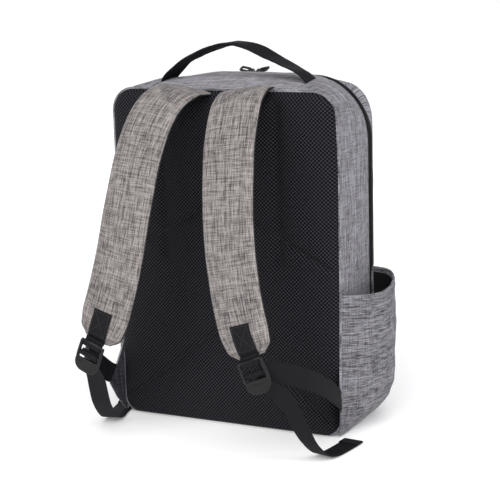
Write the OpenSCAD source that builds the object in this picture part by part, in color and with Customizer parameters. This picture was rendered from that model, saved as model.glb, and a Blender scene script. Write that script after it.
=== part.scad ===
// Backpack-style diaper bag. Millimetres, +Z up, origin at the centre of the base's resting face.
// The harness side, with the mesh back panel and the shoulder straps, faces -Y. Right is +X.

/* [Bag] */
// Width of the bag
bag_w = 300; // [280:5:330]
// Height of the bag at the main zip
bag_h = 428; // [410:1:460]
// Height of the back panel at its seam
back_h = 420; // [400:5:430]
// Depth from the back seam to the front face
bag_d = 160; // [150:5:190]
// Depth of the gussets from the back seam to the main zip
gusset_d = 118; // [100:2:120]
// Height at which the main zip ends and the front flap folds
flap_z = 190; // [170:5:230]
// Thickness of the padded fabric walls
wall = 2.2; // [1.5:0.1:3]

/* [Straps and webbing] */
// Width of a shoulder strap
strap_w = 64; // [50:1:75]
// Thickness of a shoulder strap
strap_t = 12; // [8:0.5:16]
// Width of the adjuster webbing
web_w = 25; // [20:1:30]
// Thickness of the webbing
web_t = 1.5; // [1:0.1:2]
// Width of the handle webbing where it is sewn in
handle_w = 36; // [30:1:40]
// Half the distance between the handle's sewn ends
handle_x = 100; // [90:1:105]

/* [Side pockets] */
// How far a side pocket stands out at its mouth
pocket_out = 34; // [20:1:38]
// Height of the pocket's mouth
pocket_z = 178; // [150:1:180]

/* [Hidden] */

// Shared clearances and places
half_w = bag_w / 2;
back_y = -bag_d / 2;
zip_y = back_y + gusset_d;
tape_w = 4.8;
flap_y = zip_y + 2 * tape_w + 0.7;
front_y = bag_d / 2;
seam_gap = 0.3;
lining_t = 0.8;
base_z = 12;
base_r = 20;

// Colours
grey_cloth = [0.58, 0.56, 0.57];
black_cloth = [0.10, 0.10, 0.11];
black_web = [0.16, 0.16, 0.17];
plastic = [0.19, 0.19, 0.20];
gunmetal = [0.24, 0.24, 0.25];
foam_white = [0.80, 0.80, 0.76];

// Vector helpers
function unit(v) = v / norm(v);
function last(list) = len(list) - 1;

// Smooth curve through hand-set points, k steps to each span
function cubic(a, b, c, d, t) =
    0.5 * (2 * b + (c - a) * t + (2 * a - 5 * b + 4 * c - d) * t * t
           + (3 * b - a - 3 * c + d) * t * t * t);
function smooth(p, k) = [
    for (i = [0 : last(p) - 1]) for (j = [0 : k - 1])
        cubic(p[max(i - 1, 0)], p[i], p[i + 1], p[min(i + 2, last(p))], j / k),
    p[last(p)]];
function tangent(p, i) = unit(p[min(i + 1, last(p))] - p[max(i - 1, 0)]);

// Quarter arc in the XZ plane about a centre, from one angle to another
function arc(x, z, r, from, steps) = [
    for (i = [0 : steps]) let (a = from + 90 * i / steps) [x + r * cos(a), z + r * sin(a)]];

// Outline of the bag seen from the back: half width, bottom, top, bottom and top corner radii
function outline(w, z0, z1, rb, rt) = concat(
    arc(w - rb, z0 + rb, rb, 270, 5), arc(w - rt, z1 - rt, rt, 0, 10),
    arc(rt - w, z1 - rt, rt, 90, 10), arc(rb - w, z0 + rb, rb, 180, 5));
function ring_at(y, points) = [for (p = points) [p[0], y, p[1]]];

// Closed solid through rings of equally many points
module loft(rings) {
    n = len(rings[0]);
    m = len(rings);
    points = [for (r = rings) for (p = r) p];
    sides = [for (i = [0 : m - 2]) for (j = [0 : n - 1])
        for (f = [[i * n + j, i * n + (j + 1) % n, (i + 1) * n + (j + 1) % n],
                  [i * n + j, (i + 1) * n + (j + 1) % n, (i + 1) * n + j]]) f];
    start = [for (j = [n - 1 : -1 : 0]) j];
    end = [for (j = [0 : n - 1]) (m - 1) * n + j];
    polyhedron(points, concat([start], sides, [end]), convexity = 8);
}

// Cross-sections of straps, one unit wide and thick
flat_section = [[-0.5, -0.5], [0.5, -0.5], [0.5, 0.5], [-0.5, 0.5]];
soft_section = [
    [-0.5, -0.22], [-0.47, -0.4], [-0.4, -0.5], [0.4, -0.5], [0.47, -0.4], [0.5, -0.22],
    [0.5, 0.22], [0.47, 0.4], [0.4, 0.5], [-0.4, 0.5], [-0.47, 0.4], [-0.5, 0.22]];

// Strap along path p whose width lies along u, with widths w, thicknesses t and offset lift
module ribbon(p, u, w, t, lift, section) {
    loft([for (i = [0 : last(p)])
        let (along = tangent(p, i),
             across = unit(u[i] - (u[i] * along) * along),
             out = cross(across, along))
        [for (s = section) p[i] + across * s[0] * w[i] + out * (s[1] * t[i] + lift[i])]]);
}
function same(p, value) = [for (q = p) value];

// Draws its children on one side, +1 for the right and -1 for the left
module on_side(side) {
    if (side > 0) children();
    else mirror([1, 0, 0]) children();
}

// ---- Body of the bag ----

// Outer surface between the back seam and the flap, shrunk by an inset and raised at the base
function body_rings(inset, y0, y1, lift) = [
    for (i = [0 : 4])
        let (y = y0 + (y1 - y0) * i / 4, s = (y - back_y) / (flap_y - back_y),
             top = back_h + (bag_h - back_h) * sin(90 * s), corner = 40 + 40 * s)
        ring_at(y, outline(
            half_w - inset, inset + lift, top - inset, base_r - inset, corner - inset))];
module body_wall() {
    difference() {
        loft(body_rings(0, back_y + 1.8, flap_y - seam_gap, 0));
        loft(body_rings(wall, back_y + 1, flap_y + 1, 0));
        translate([-bag_w, zip_y, flap_z])
            cube([2 * bag_w, bag_d, bag_h]);
    }
}
// Space over the base panel, and the space of the yoke between the gussets
module over_base() {
    translate([-bag_w, back_y - 1, base_z])
        cube([2 * bag_w, 2 * bag_d, 2 * bag_h]);
}
module yoke_zone(gap) {
    translate([-handle_x - gap, back_y - 2, flap_z])
        cube([2 * (handle_x + gap), 2 * bag_d, bag_h]);
}
module gusset(side) {
    color(grey_cloth)
        on_side(side)
            difference() {
                intersection() {
                    body_wall();
                    over_base();
                    translate([seam_gap, back_y - 1, 0])
                        cube([bag_w, 2 * bag_d, 2 * bag_h]);
                }
                yoke_zone(seam_gap);
            }
}
module gusset_left() { gusset(-1); }
module gusset_right() { gusset(1); }
module yoke_top() {
    color(grey_cloth)
        intersection() {
            body_wall();
            yoke_zone(0);
        }
}
module base_panel() {
    color(black_cloth)
        difference() {
            body_wall();
            translate([0, 0, -seam_gap])
                over_base();
        }
}
module base_board() {
    board_t = 2.6;
    color(foam_white)
        translate([-half_w + 22, back_y + 14, wall + seam_gap])
            cube([bag_w - 44, gusset_d - 20, board_t]);
}

// ---- Back panel ----

// Crowned pad: how far each ring stands out of the seam plane, and how far in from the outline
pad_crown = [[9.6, 34], [9, 20], [7.5, 10], [5, 4], [1.8, 1]];
module pad(inset) {
    loft([for (c = pad_crown)
        ring_at(back_y - c[0] + inset, outline(
            half_w - c[1] - inset, c[1] + inset, back_h - c[1] - inset,
            base_r - c[1] / 4 - inset, 40 - c[1] / 2 - inset))]);
}
mesh_t = 2.6;
module back_mesh() {
    color(black_cloth)
        difference() {
            pad(0);
            pad(mesh_t);
        }
}
module back_foam() {
    color(foam_white)
        pad(mesh_t + seam_gap);
}
module upright_plate(y, t, inset) {
    translate([0, y + t, 0])
        rotate([90, 0, 0])
            linear_extrude(t)
                polygon(outline(half_w - inset, inset, back_h - inset, base_r - 5, 34));
}
module back_board() {
    color(black_web)
        upright_plate(back_y + 1.6, 2, 6);
}
module back_piping() {
    pipe_r = 1.5;
    color(grey_cloth)
        translate([0, back_y + pipe_r, 0])
            rotate([90, 0, 0])
                linear_extrude(2 * pipe_r)
                    difference() {
                        polygon(outline(half_w + pipe_r, 0, back_h + pipe_r, base_r, 41));
                        polygon(outline(half_w - 2, 2.5, back_h - 2, base_r - 2, 38));
                    }
}

// ---- Main zip ----

// One half of the zip: a tape round the sides and top with a raised coil at its meeting edge
module tape_hoop(y, width, outer, inner) {
    translate([0, y + width, 0])
        rotate([90, 0, 0])
            linear_extrude(width)
                difference() {
                    polygon(outline(half_w + outer, 1, bag_h + outer, base_r, 80 + outer));
                    polygon(outline(half_w - inner, 2, bag_h - inner, base_r, 80 - inner));
                    translate([-bag_w, -1])
                        square([2 * bag_w, flap_z + 1 + seam_gap]);
                }
}
coil_w = 1.6;
module zip_tape_body() {
    color(black_web) {
        tape_hoop(zip_y + seam_gap, tape_w - coil_w, -0.2, 1.6);
        tape_hoop(zip_y + seam_gap + tape_w - coil_w, coil_w, 0.6, 2);
    }
}
module zip_tape_flap() {
    flap_coil_y = zip_y + 2 * seam_gap + tape_w;
    color(black_web) {
        tape_hoop(flap_coil_y, coil_w, 0.6, 2);
        tape_hoop(flap_coil_y + coil_w, tape_w - coil_w - seam_gap, -0.2, 1.6);
    }
}
// Slider over a coil, and a loop-shaped pull that turns on the slider's pin.
// Both are drawn at the origin on a zip along X whose outer face looks along +Z.
slider_l = 9;
pin_r = 0.8;
pin_z = 4.2;
module slider_shape() {
    translate([-slider_l / 2, -4, 0])
        cube([slider_l, 8, 2]);
    for (y = [-3.6, 2.4])
        translate([-1.6, y, 2])
            cube([3.2, 1.2, 3.4]);
    translate([0, 3, pin_z])
        rotate([90, 0, 0])
            cylinder(r = pin_r, h = 6, $fn = 24);
}
pull_l = 14;
module pull_shape(tilt) {
    translate([0, 0, pin_z])
        rotate([0, -tilt, 0])
            difference() {
                union() {
                    translate([0, 2, 0])
                        rotate([90, 0, 0])
                            cylinder(r = 1.6, h = 4, $fn = 32);
                    translate([0, -2, -0.8])
                        cube([4.5, 4, 1.6]);
                    translate([3.5, -4.5, -0.8])
                        cube([pull_l - 3.5, 9, 1.6]);
                }
                translate([0, 3, 0])
                    rotate([90, 0, 0])
                        cylinder(r = pin_r + 0.15, h = 6, $fn = 32);
                translate([5.5, -2.7, -2])
                    cube([pull_l - 7.3, 5.4, 4]);
            }
}
// The sliders meet a little left of the middle, and lean back with the top's edge
meet_x = -12;
slider_z = bag_h + 2.4;
slider_lean = 20;
coil_y = zip_y + tape_w + 1.5 * seam_gap;
module at_slider(side) {
    translate([meet_x + side * (slider_l / 2 + 0.4), coil_y, slider_z])
        rotate([slider_lean, 0, 0])
            on_side(side)
                children();
}
module zip_slider_left() { color(gunmetal) at_slider(-1) slider_shape(); }
module zip_slider_right() { color(gunmetal) at_slider(1) slider_shape(); }
module zip_pull_left() { color(gunmetal) at_slider(-1) pull_shape(12); }
module zip_pull_right() { color(gunmetal) at_slider(1) pull_shape(12); }

// ---- Front of the bag ----

// Rings of the front: y, half width, bottom, top, top corner radius
front_rows = [
    [0, 0, 0, 0, 80], [6, 0, 0.5, 1, 77], [14, -2, 1.5, -2, 70],
    [22, -6, 4, -9, 62], [28, -13, 8, -18, 55], [front_y - flap_y, -21, 14, -29, 48]];
function front_rings(inset, back) = [
    for (i = [0 : last(front_rows)])
        let (r = front_rows[i])
        ring_at(flap_y + r[0] - inset - (i == 0 ? back : 0), outline(
            half_w + r[1] - inset, r[2] + inset, bag_h + r[3] - inset,
            base_r + r[2] / 2 - inset, r[4] - inset))];
module front_shell(outer, inner) {
    difference() {
        loft(front_rings(outer, 0));
        loft(front_rings(inner, 3));
        translate([-bag_w, -bag_d, -1])
            cube([2 * bag_w, bag_d + flap_y, 2 * bag_h]);
    }
}
module under_fold(gap) {
    translate([-bag_w, -bag_d, -1])
        cube([2 * bag_w, 3 * bag_d, flap_z + 1 + gap]);
}
module front_lower() {
    color(grey_cloth)
        intersection() {
            front_shell(0, wall);
            under_fold(-seam_gap);
        }
}
module front_panel() {
    color(grey_cloth)
        difference() {
            front_shell(0, wall);
            under_fold(seam_gap);
        }
}
module lining_flap() {
    color(black_cloth)
        difference() {
            front_shell(wall + seam_gap, wall + seam_gap + lining_t);
            under_fold(seam_gap);
        }
}
// Gathered pockets for bottles, sewn on the inside of the flap
pocket_half = 118;
pocket_bottom = flap_z + 8;
pocket_h = 100;
module inner_pocket() {
    depth = 10;
    face_y = front_y - wall - seam_gap - lining_t - seam_gap;
    cloth_t = 1;
    sewn_gap = 0.2;
    inside = depth - cloth_t - sewn_gap;
    color(black_cloth)
        translate([0, face_y - inside, pocket_bottom]) {
            translate([-pocket_half, -sewn_gap - cloth_t, 0])
                cube([2 * pocket_half, cloth_t, pocket_h]);
            translate([-pocket_half, 0, 0])
                cube([2 * pocket_half, inside, cloth_t]);
            for (x = [-pocket_half, -cloth_t / 2, pocket_half - cloth_t])
                translate([x, 0, cloth_t + sewn_gap])
                    cube([cloth_t, inside, pocket_h - cloth_t - sewn_gap]);
        }
}
module inner_pocket_elastic() {
    color(black_web)
        translate([-pocket_half, front_y - 15, pocket_bottom + pocket_h - 10])
            cube([2 * pocket_half, 1.2, 10]);
}
// Zip of the front pocket, with its slider at its left end
front_zip_z = 345;
front_zip_half = 95;
module front_zip_tape() {
    color(black_web)
        translate([-front_zip_half, front_y + 0.1, front_zip_z - 5])
            cube([2 * front_zip_half, 1.2, 10]);
}
module at_front_slider() {
    translate([-front_zip_half + 8, front_y + 1.6, front_zip_z])
        rotate([-90, 0, 0])
            children();
}
module front_zip_slider() { color(gunmetal) at_front_slider() slider_shape(); }
module front_zip_pull() { color(gunmetal) at_front_slider() pull_shape(12); }

// ---- Inside ----

lining_in = wall + seam_gap;
module lining_body() {
    board_space = 3.2;
    lining_y = back_y + 4;
    color(black_cloth)
        difference() {
            loft(body_rings(lining_in, lining_y, zip_y - seam_gap, board_space));
            loft(body_rings(lining_in + lining_t, lining_y + lining_t, zip_y + 1, board_space));
        }
}
sleeve_h = 300;
sleeve_y = back_y + 22;
module sleeve_panel() {
    color(black_cloth)
        translate([-half_w + 24, sleeve_y, 9])
            cube([bag_w - 48, 6, sleeve_h - 9]);
}
module sleeve_binding() {
    color(black_web)
        translate([-half_w + 24, sleeve_y - 0.8, sleeve_h + 0.2])
            cube([bag_w - 48, 7.6, 3]);
}

// ---- Side pockets ----

// Bulge of a side pocket: share of its length along Y, share of its reach
pocket_plan = [[0, 0.02], [0.06, 0.24], [0.14, 0.48], [0.28, 0.76], [0.45, 0.92], [0.62, 1],
               [0.78, 1], [0.88, 0.93], [0.95, 0.72], [0.985, 0.4], [1, 0.02]];
// How full the pocket is at each height
pocket_fill = [[4, 0.08], [14, 0.45], [30, 0.8], [60, 0.95], [100, 1]];
pocket_y = [back_y + 12, flap_y + 7.5];
side_x = half_w + seam_gap;
function pocket_ring(z, fill, inset, root) = let (
    y0 = pocket_y[0] + inset, y1 = pocket_y[1] - inset) concat(
    [[side_x - root, y0, z], [side_x - root, y1, z]],
    [for (i = [last(pocket_plan) : -1 : 0])
        let (p = pocket_plan[i])
        [side_x + max(pocket_out * fill * p[1] - inset, 0.3), y0 + (y1 - y0) * p[0], z]]);
module pocket_body(inset, root, bottom, top) {
    loft([for (f = pocket_fill) pocket_ring(f[0] + bottom, f[1], inset, root),
          pocket_ring(top, 1, inset, root)]);
}
module pocket_layer(outer, inner, bottom, top) {
    difference() {
        pocket_body(outer, 0, bottom, top);
        pocket_body(inner, 3, bottom + inner - outer + 1, top + 5);
    }
}
hem_h = 8;
module side_pocket(side) {
    color(grey_cloth)
        on_side(side)
            pocket_layer(0, wall, 0, pocket_z - hem_h);
}
module side_pocket_left() { side_pocket(-1); }
module side_pocket_right() { side_pocket(1); }
module pocket_lining(side) {
    color(black_cloth)
        on_side(side)
            pocket_layer(wall + 0.2, wall + 0.2 + lining_t, wall + 1.4, pocket_z - hem_h);
}
module pocket_lining_left() { pocket_lining(-1); }
module pocket_lining_right() { pocket_lining(1); }
module pocket_hem(side) {
    z0 = pocket_z - hem_h + 0.2;
    color(grey_cloth)
        on_side(side)
            difference() {
                loft([for (z = [z0, pocket_z]) pocket_ring(z, 1, -0.6, 0)]);
                loft([for (z = [z0 - 1, pocket_z + 1]) pocket_ring(z, 1, wall + 0.4, 3)]);
            }
}
module pocket_hem_left() { pocket_hem(-1); }
module pocket_hem_right() { pocket_hem(1); }

// ---- Carry handle ----

handle_y = back_y + 52;
handle_t = 1.6;
// Crest of the handle in the XZ plane
handle_points = [[-100, 426.9], [-95, 434], [-84, 443.5], [-72, 452], [-50, 462], [-25, 470],
                 [0, 473], [22, 469], [44, 459], [66, 448.5], [84, 441], [94, 434.5],
                 [100, 426.9]];
function handle_path(list) = [for (p = list) [p[0], handle_y, p[1]]];
// The webbing is folded in half along the grip, so it narrows and thickens there
function grip(x) = let (s = min(max((abs(x) - 45) / 50, 0), 1)) s * s * (3 - 2 * s);
module handle_run(path) {
    ribbon(path, same(path, [0, 1, 0]),
           [for (p = path) handle_w / 2 + handle_w / 2 * grip(p[0])],
           [for (p = path) 4.4 - (4.4 - handle_t) * grip(p[0])], same(path, 0), flat_section);
}
module carry_handle() {
    n = last(handle_points);
    color(black_web)
        handle_run(smooth(handle_path([for (i = [2 : n - 2]) handle_points[i]]), 3));
}
module handle_ends() {
    ends = [[-100, 426.9], [-95, 434], [-87.6, 441.2]];
    path = smooth(handle_path(ends), 3);
    color(black_web) {
        handle_run(path);
        mirror([1, 0, 0])
            handle_run(path);
    }
}

// ---- Shoulder straps, drawn for the right side ----

// Middle of the strap's thickness, from its seam at the top down to its webbing end
strap_points = [[40.6, -88.5, 421], [45, -107, 421], [50, -134, 411], [55, -156, 390],
                [58.5, -172, 364], [62, -182.5, 336], [65, -191, 307], [68.5, -198, 278],
                [72.5, -203, 248], [78, -207, 218], [84.5, -211, 189], [93, -214, 160],
                [103.6, -214.7, 132]];
// Direction across the strap at its top, middle and end
strap_across = [[0.98, 0.12, 0.15], [0.99, 0.04, 0.1], [0.92, 0.01, 0.39]];
strap_path = smooth(strap_points, 2);
strap_n = last(strap_path);
function blend3(list, s) =
    s < 0.5 ? list[0] + (list[1] - list[0]) * 2 * s : list[1] + (list[2] - list[1]) * (2 * s - 1);
strap_u = [for (i = [0 : strap_n]) blend3(strap_across, i / strap_n)];
// The strap thins into its top seam, and narrows and rounds off at its end
function strap_full(i) = strap_t * min(0.5 + i / 8, 1);
function strap_width(i) = strap_w * (i > strap_n - 4 ? 1 - 0.06 * (i - strap_n + 4) : 1);
module strap_layer(t_of, lift_of, trim) {
    steps = [0 : strap_n];
    ribbon(strap_path, strap_u, [for (i = steps) strap_width(i) - trim], t_of, lift_of,
           soft_section);
}
cover_t = 1.2;
pad_mesh_t = 2.4;
module strap_cover(side) {
    color(grey_cloth)
        on_side(side)
            strap_layer([for (p = strap_path) cover_t],
                        [for (i = [0 : strap_n]) (cover_t - strap_full(i)) / 2], 0);
}
module strap_cover_left() { strap_cover(-1); }
module strap_cover_right() { strap_cover(1); }
module strap_foam(side) {
    gaps = cover_t + pad_mesh_t + 2 * seam_gap;
    color(foam_white)
        on_side(side)
            strap_layer([for (i = [0 : strap_n]) strap_full(i) - gaps],
                        [for (p = strap_path) (cover_t - pad_mesh_t) / 2], 5);
}
module strap_foam_left() { strap_foam(-1); }
module strap_foam_right() { strap_foam(1); }
module strap_mesh(side) {
    color(black_cloth)
        on_side(side)
            strap_layer([for (p = strap_path) pad_mesh_t],
                        [for (i = [0 : strap_n]) (strap_full(i) - pad_mesh_t) / 2], 0);
}
module strap_mesh_left() { strap_mesh(-1); }
module strap_mesh_right() { strap_mesh(1); }

// ---- Ladder locks, webbing tabs and adjusters, drawn for the right side ----

// Middle of the lock's top bar, and how far the lock leans outwards
lock_place = [106, -223, 126];
lock_lean = 22.4;
bar_r = 1.8;
wrap_in = bar_r + 0.35;
wrap_out = wrap_in + web_t;
bar_gap = 13;
module at_lock() {
    translate(lock_place)
        rotate([0, -lock_lean, 0])
            children();
}
module cross_rod(z, r, length, y = 0) {
    translate([-length / 2, y, z])
        rotate([0, 90, 0])
            cylinder(r = r, h = length, $fn = 32);
}
module strap_tab(side) {
    run = [for (i = [strap_n - 3 : strap_n]) strap_path[i]];
    across = [for (i = [strap_n - 3 : strap_n]) strap_u[i]];
    color(black_web)
        on_side(side) {
            ribbon(run, across, same(run, web_w), same(run, web_t),
                   same(run, -strap_t / 2 - seam_gap - web_t / 2), flat_section);
            at_lock()
                difference() {
                    union() {
                        cross_rod(0, wrap_out, web_w);
                        translate([-web_w / 2, -web_t / 2 + 0.7, 2.6])
                            cube([web_w, web_t, 4.5]);
                    }
                    cross_rod(0, wrap_in, web_w + 2);
                }
        }
}
module strap_tab_left() { strap_tab(-1); }
module strap_tab_right() { strap_tab(1); }
// Three-bar lock: bars across two rails, and a rounded lip below
module ladder_lock(side) {
    rail_x = web_w / 2 + 0.9;
    rail_w = 3;
    lock_t = 4.4;
    lip_r = 12;
    color(plastic)
        on_side(side)
            at_lock() {
                for (x = [-rail_x - rail_w, rail_x])
                    translate([x, -lock_t / 2, -bar_gap * 2 + 1])
                        cube([rail_w, lock_t, bar_gap * 2 + 1.6]);
                cross_rod(0, bar_r, 2 * rail_x + 1);
                cross_rod(-bar_gap, bar_r, 2 * rail_x + 1);
                translate([-rail_x - 0.5, -lock_t / 2, -2 * bar_gap + 1])
                    cube([2 * rail_x + 1, 3, 4]);
                translate([0, -lock_t / 2 + 3, -2 * bar_gap + 2])
                    rotate([90, 0, 0])
                        linear_extrude(3)
                            intersection() {
                                lip_outline(lip_r, rail_x + rail_w);
                                translate([-20, -20])
                                    square([40, 20]);
                            }
            }
}
module lip_outline(r, half) {
    for (x = [-half + r, half - r])
        translate([x, 0])
            circle(r = r, $fn = 48);
    translate([-half + r, -r])
        square([2 * (half - r), r]);
}
module ladder_lock_left() { ladder_lock(-1); }
module ladder_lock_right() { ladder_lock(1); }
module web_wrap(side) {
    color(black_web)
        on_side(side)
            at_lock()
                difference() {
                    cross_rod(-bar_gap, wrap_out, web_w);
                    cross_rod(-bar_gap, wrap_in, web_w + 2);
                }
}
module web_wrap_left() { web_wrap(-1); }
module web_wrap_right() { web_wrap(1); }

// Cloth wing in the corner seam: its foot, how far it stands out, and its turn from the side
wing_foot = [half_w + 0.6, back_y - 0.2];
wing_turn = 63.2;
wing_reach = 24;
wing_outline = [[2.4, 3], [14, 20], [wing_reach - 1.5, 37.5], [wing_reach, 40],
                [wing_reach - 11.6, 65], [2.4, 88]];
module wing(side) {
    wing_t = 2.6;
    color(grey_cloth)
        on_side(side)
            translate([wing_foot[0], wing_foot[1], 0])
                rotate([90, 0, -wing_turn])
                    translate([0, 0, -wing_t / 2])
                        linear_extrude(wing_t)
                            polygon(wing_outline);
}
module wing_left() { wing(-1); }
module wing_right() { wing(1); }

// Adjuster webbing from the wing up to the lock
adjuster_points = [[159.6, -98, 53], [161, -106, 58], [159, -132, 76], [152, -165, 96],
                   [137, -192, 109], [122, -209, 115.5], [113, -217.6, 116]];
adjuster_across = [[-0.2, 0.38, 0.9], [-0.2, 0.38, 0.9], [-0.2, 0.38, 0.9], [-0.15, 0.35, 0.92],
                   [0, 0.3, 0.95], [0.1, 0.2, 0.95], [0.15, 0, 0.95]];
module webbing(points, across) {
    path = smooth(points, 3);
    ribbon(path, smooth(across, 3), same(path, web_w), same(path, web_t), same(path, 0),
           flat_section);
}
module adjuster_left() { color(black_web) on_side(-1) webbing(adjuster_points, adjuster_across); }
module adjuster_right() { color(black_web) webbing(adjuster_points, adjuster_across); }

// Loose tails: out from behind the lip, down to the floor and back beside the bag
tail_z = 1.6;
tail_right_points = [[116.5, -217.4, 103], [124, -209, 95], [133, -201, 84], [141, -192, 67],
                     [148, -184, 44], [156, -175, 22], [163, -161, 6.5], [167, -145, 2],
                     [169, -128, tail_z], [171, -108, tail_z], [173.4, -86, tail_z]];
tail_right_across = [[0.92, 0, 0.39], [0.85, -0.05, 0.53], [0.9, -0.03, 0.4], [0.95, -0.1, 0.28],
                     [0.95, -0.18, 0.2], [0.93, -0.3, 0.1], [0.96, -0.23, 0], [1, -0.15, 0],
                     [1, -0.1, 0], [1, -0.1, 0], [1, -0.1, 0]];
tail_left_points = [[-116.5, -217.4, 103], [-117.5, -208, 92], [-119.5, -198, 78],
                    [-125, -185, 58], [-131, -170, 37], [-137, -150, 18], [-142, -132, 6.5],
                    [-147, -114, 2], [-153, -95, tail_z], [-160, -68, tail_z],
                    [-165.5, -45, tail_z]];
tail_left_across = [[0.92, 0, -0.39], [0.95, 0.05, -0.2], [0.97, 0.12, -0.12],
                    [0.96, 0.22, -0.15], [0.97, 0.23, -0.08], [0.97, 0.23, 0], [0.96, 0.25, 0],
                    [0.96, 0.27, 0], [0.96, 0.27, 0], [0.97, 0.25, 0], [0.97, 0.25, 0]];
module tail_left() { color(black_web) webbing(tail_left_points, tail_left_across); }
module tail_right() { color(black_web) webbing(tail_right_points, tail_right_across); }
// Folded and sewn end of a tail
module tail_hem(points, across) {
    end = points[last(points)];
    along = unit(end - points[last(points) - 1]);
    run = [end + along * 0.2, end + along * 6, end + along * 11];
    color(black_web)
        translate([0, 0, 0.6])
            ribbon(run, same(run, across[last(across)]), same(run, web_w), same(run, 3.4),
                   same(run, 0), flat_section);
}
module tail_hem_left() { tail_hem(tail_left_points, tail_left_across); }
module tail_hem_right() { tail_hem(tail_right_points, tail_right_across); }

back_mesh();
back_foam();
back_board();
back_piping();
gusset_left();
gusset_right();
yoke_top();
base_panel();
base_board();
front_lower();
zip_tape_body();
lining_body();
sleeve_panel();
sleeve_binding();
side_pocket_left();
side_pocket_right();
pocket_hem_left();
pocket_hem_right();
pocket_lining_left();
pocket_lining_right();
wing_left();
wing_right();
adjuster_left();
adjuster_right();
tail_left();
tail_right();
tail_hem_left();
tail_hem_right();
handle_ends();
carry_handle();
strap_cover_left();
strap_cover_right();
strap_foam_left();
strap_foam_right();
strap_mesh_left();
strap_mesh_right();
strap_tab_left();
strap_tab_right();
ladder_lock_left();
ladder_lock_right();
web_wrap_left();
web_wrap_right();
zip_slider_left();
zip_slider_right();
zip_pull_left();
zip_pull_right();
front_panel();
lining_flap();
zip_tape_flap();
inner_pocket();
inner_pocket_elastic();
front_zip_tape();
front_zip_slider();
front_zip_pull();
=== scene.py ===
"""Diaper bag of backpack form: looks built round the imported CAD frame. X is across the bag, the
harness side is towards -Y and Z is up. Builders work in millimetres, meshes and materials in metres."""
import math

import bmesh
import bpy
import numpy as np
from mathutils import Matrix, Vector


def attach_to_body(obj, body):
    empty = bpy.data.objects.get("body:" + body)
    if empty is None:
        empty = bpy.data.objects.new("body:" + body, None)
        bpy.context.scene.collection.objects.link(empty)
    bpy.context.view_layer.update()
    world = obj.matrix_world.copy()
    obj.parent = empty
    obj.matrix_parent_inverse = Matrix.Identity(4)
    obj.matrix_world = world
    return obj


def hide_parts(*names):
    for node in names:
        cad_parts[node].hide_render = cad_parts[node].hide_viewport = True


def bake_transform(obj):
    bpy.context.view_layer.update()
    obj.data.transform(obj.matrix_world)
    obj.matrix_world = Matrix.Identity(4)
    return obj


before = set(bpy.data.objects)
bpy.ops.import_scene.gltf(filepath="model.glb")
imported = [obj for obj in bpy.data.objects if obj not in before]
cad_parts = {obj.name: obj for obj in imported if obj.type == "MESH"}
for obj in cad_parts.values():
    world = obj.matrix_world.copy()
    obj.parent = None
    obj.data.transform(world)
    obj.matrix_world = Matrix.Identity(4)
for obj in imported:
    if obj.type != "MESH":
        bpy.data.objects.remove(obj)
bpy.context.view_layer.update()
scene = bpy.context.scene
MM = 0.001
TURN = 2 * math.pi
WORD = {1: "right", -1: "left"}
FLAP_BEND = dict(start=(0, 0.08, 0.188), end=(0, 0.08, 0.235))

# ---------------------------------------------------------------- small maths


def arr(*p):
    return np.array(p, float)


def unit(v):
    return v / np.maximum(np.linalg.norm(v, axis=-1, keepdims=True), 1e-12)


def smoothstep(a, b, x):
    t = np.clip((np.asarray(x, float) - a) / (b - a), 0, 1)
    return t * t * (3 - 2 * t)


def length_along(p):
    return np.concatenate([[0], np.cumsum(np.linalg.norm(np.diff(p, axis=0), axis=1))])


def read_at(t, s, p):
    """The columns of p, known at lengths s, read at lengths t."""
    return np.stack([np.interp(t, s, p[:, k]) for k in range(p.shape[1])], 1)


def even(p, n):
    s = length_along(p)
    return read_at(np.linspace(0, s[-1], n), s, p)


def spline(points, n):
    """n points evenly spaced along a Catmull-Rom curve through the given ones."""
    p = np.array(points, float)
    e = np.vstack([p[0], p, p[-1]])
    t = np.linspace(0, 1, 16, endpoint=False)[:, None]
    out = []
    for a, b, c, d in zip(e, e[1:], e[2:], e[3:]):
        out.append(0.5 * (2 * b + (c - a) * t + (2 * a - 5 * b + 4 * c - d) * t**2
                          + (3 * b - a - 3 * c + d) * t**3))
    return even(np.vstack(out + [p[-1:]]), n)


def route(points, across, n):
    """A curve through given points, and the directions across it, given at the same points."""
    s = length_along(np.array(points, float))
    return spline(points, n), read_at(np.linspace(0, s[-1], n), s, np.array(across, float))


def waves(p, size, seed, octaves=3):
    """Smooth noise at points p, made of sines in fixed pseudo-random directions, about -1 to 1."""
    r = np.random.default_rng(seed)
    total = np.zeros(p.shape[:-1])
    for o in range(octaves):
        for _ in range(5):
            d = unit(r.normal(size=p.shape[-1]))
            total += np.sin(p @ d * (TURN / size * 1.9**o) + r.uniform(0, 6.3)) / 1.9**o
    return total / 4


def sided(p, side):
    """Points or directions of the right side, mirrored for the left one."""
    return np.asarray(p, float) * (side, 1, 1)


def ellipse(n, a, b):
    t = np.linspace(0, TURN, n, endpoint=False)
    return np.stack([np.cos(t) * a, np.sin(t) * b], 1)


def grid(a, b):
    return np.stack(np.meshgrid(a, b, indexing="ij"), -1)


def normals(p, inward, probe=None, loop=False):
    """Normals of a grid of points, turned away from a point that lies inside as seen from the probe."""
    along = np.roll(p, -1, 1) - np.roll(p, 1, 1) if loop else np.gradient(p, axis=1)
    nrm = unit(np.cross(np.gradient(p, axis=0), along))
    probe = probe or (p.shape[0] // 2, p.shape[1] // 2)
    return -nrm if np.dot(nrm[probe], p[probe] - np.array(inward, float)) < 0 else nrm


# ---------------------------------------------------------------- meshes


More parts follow.
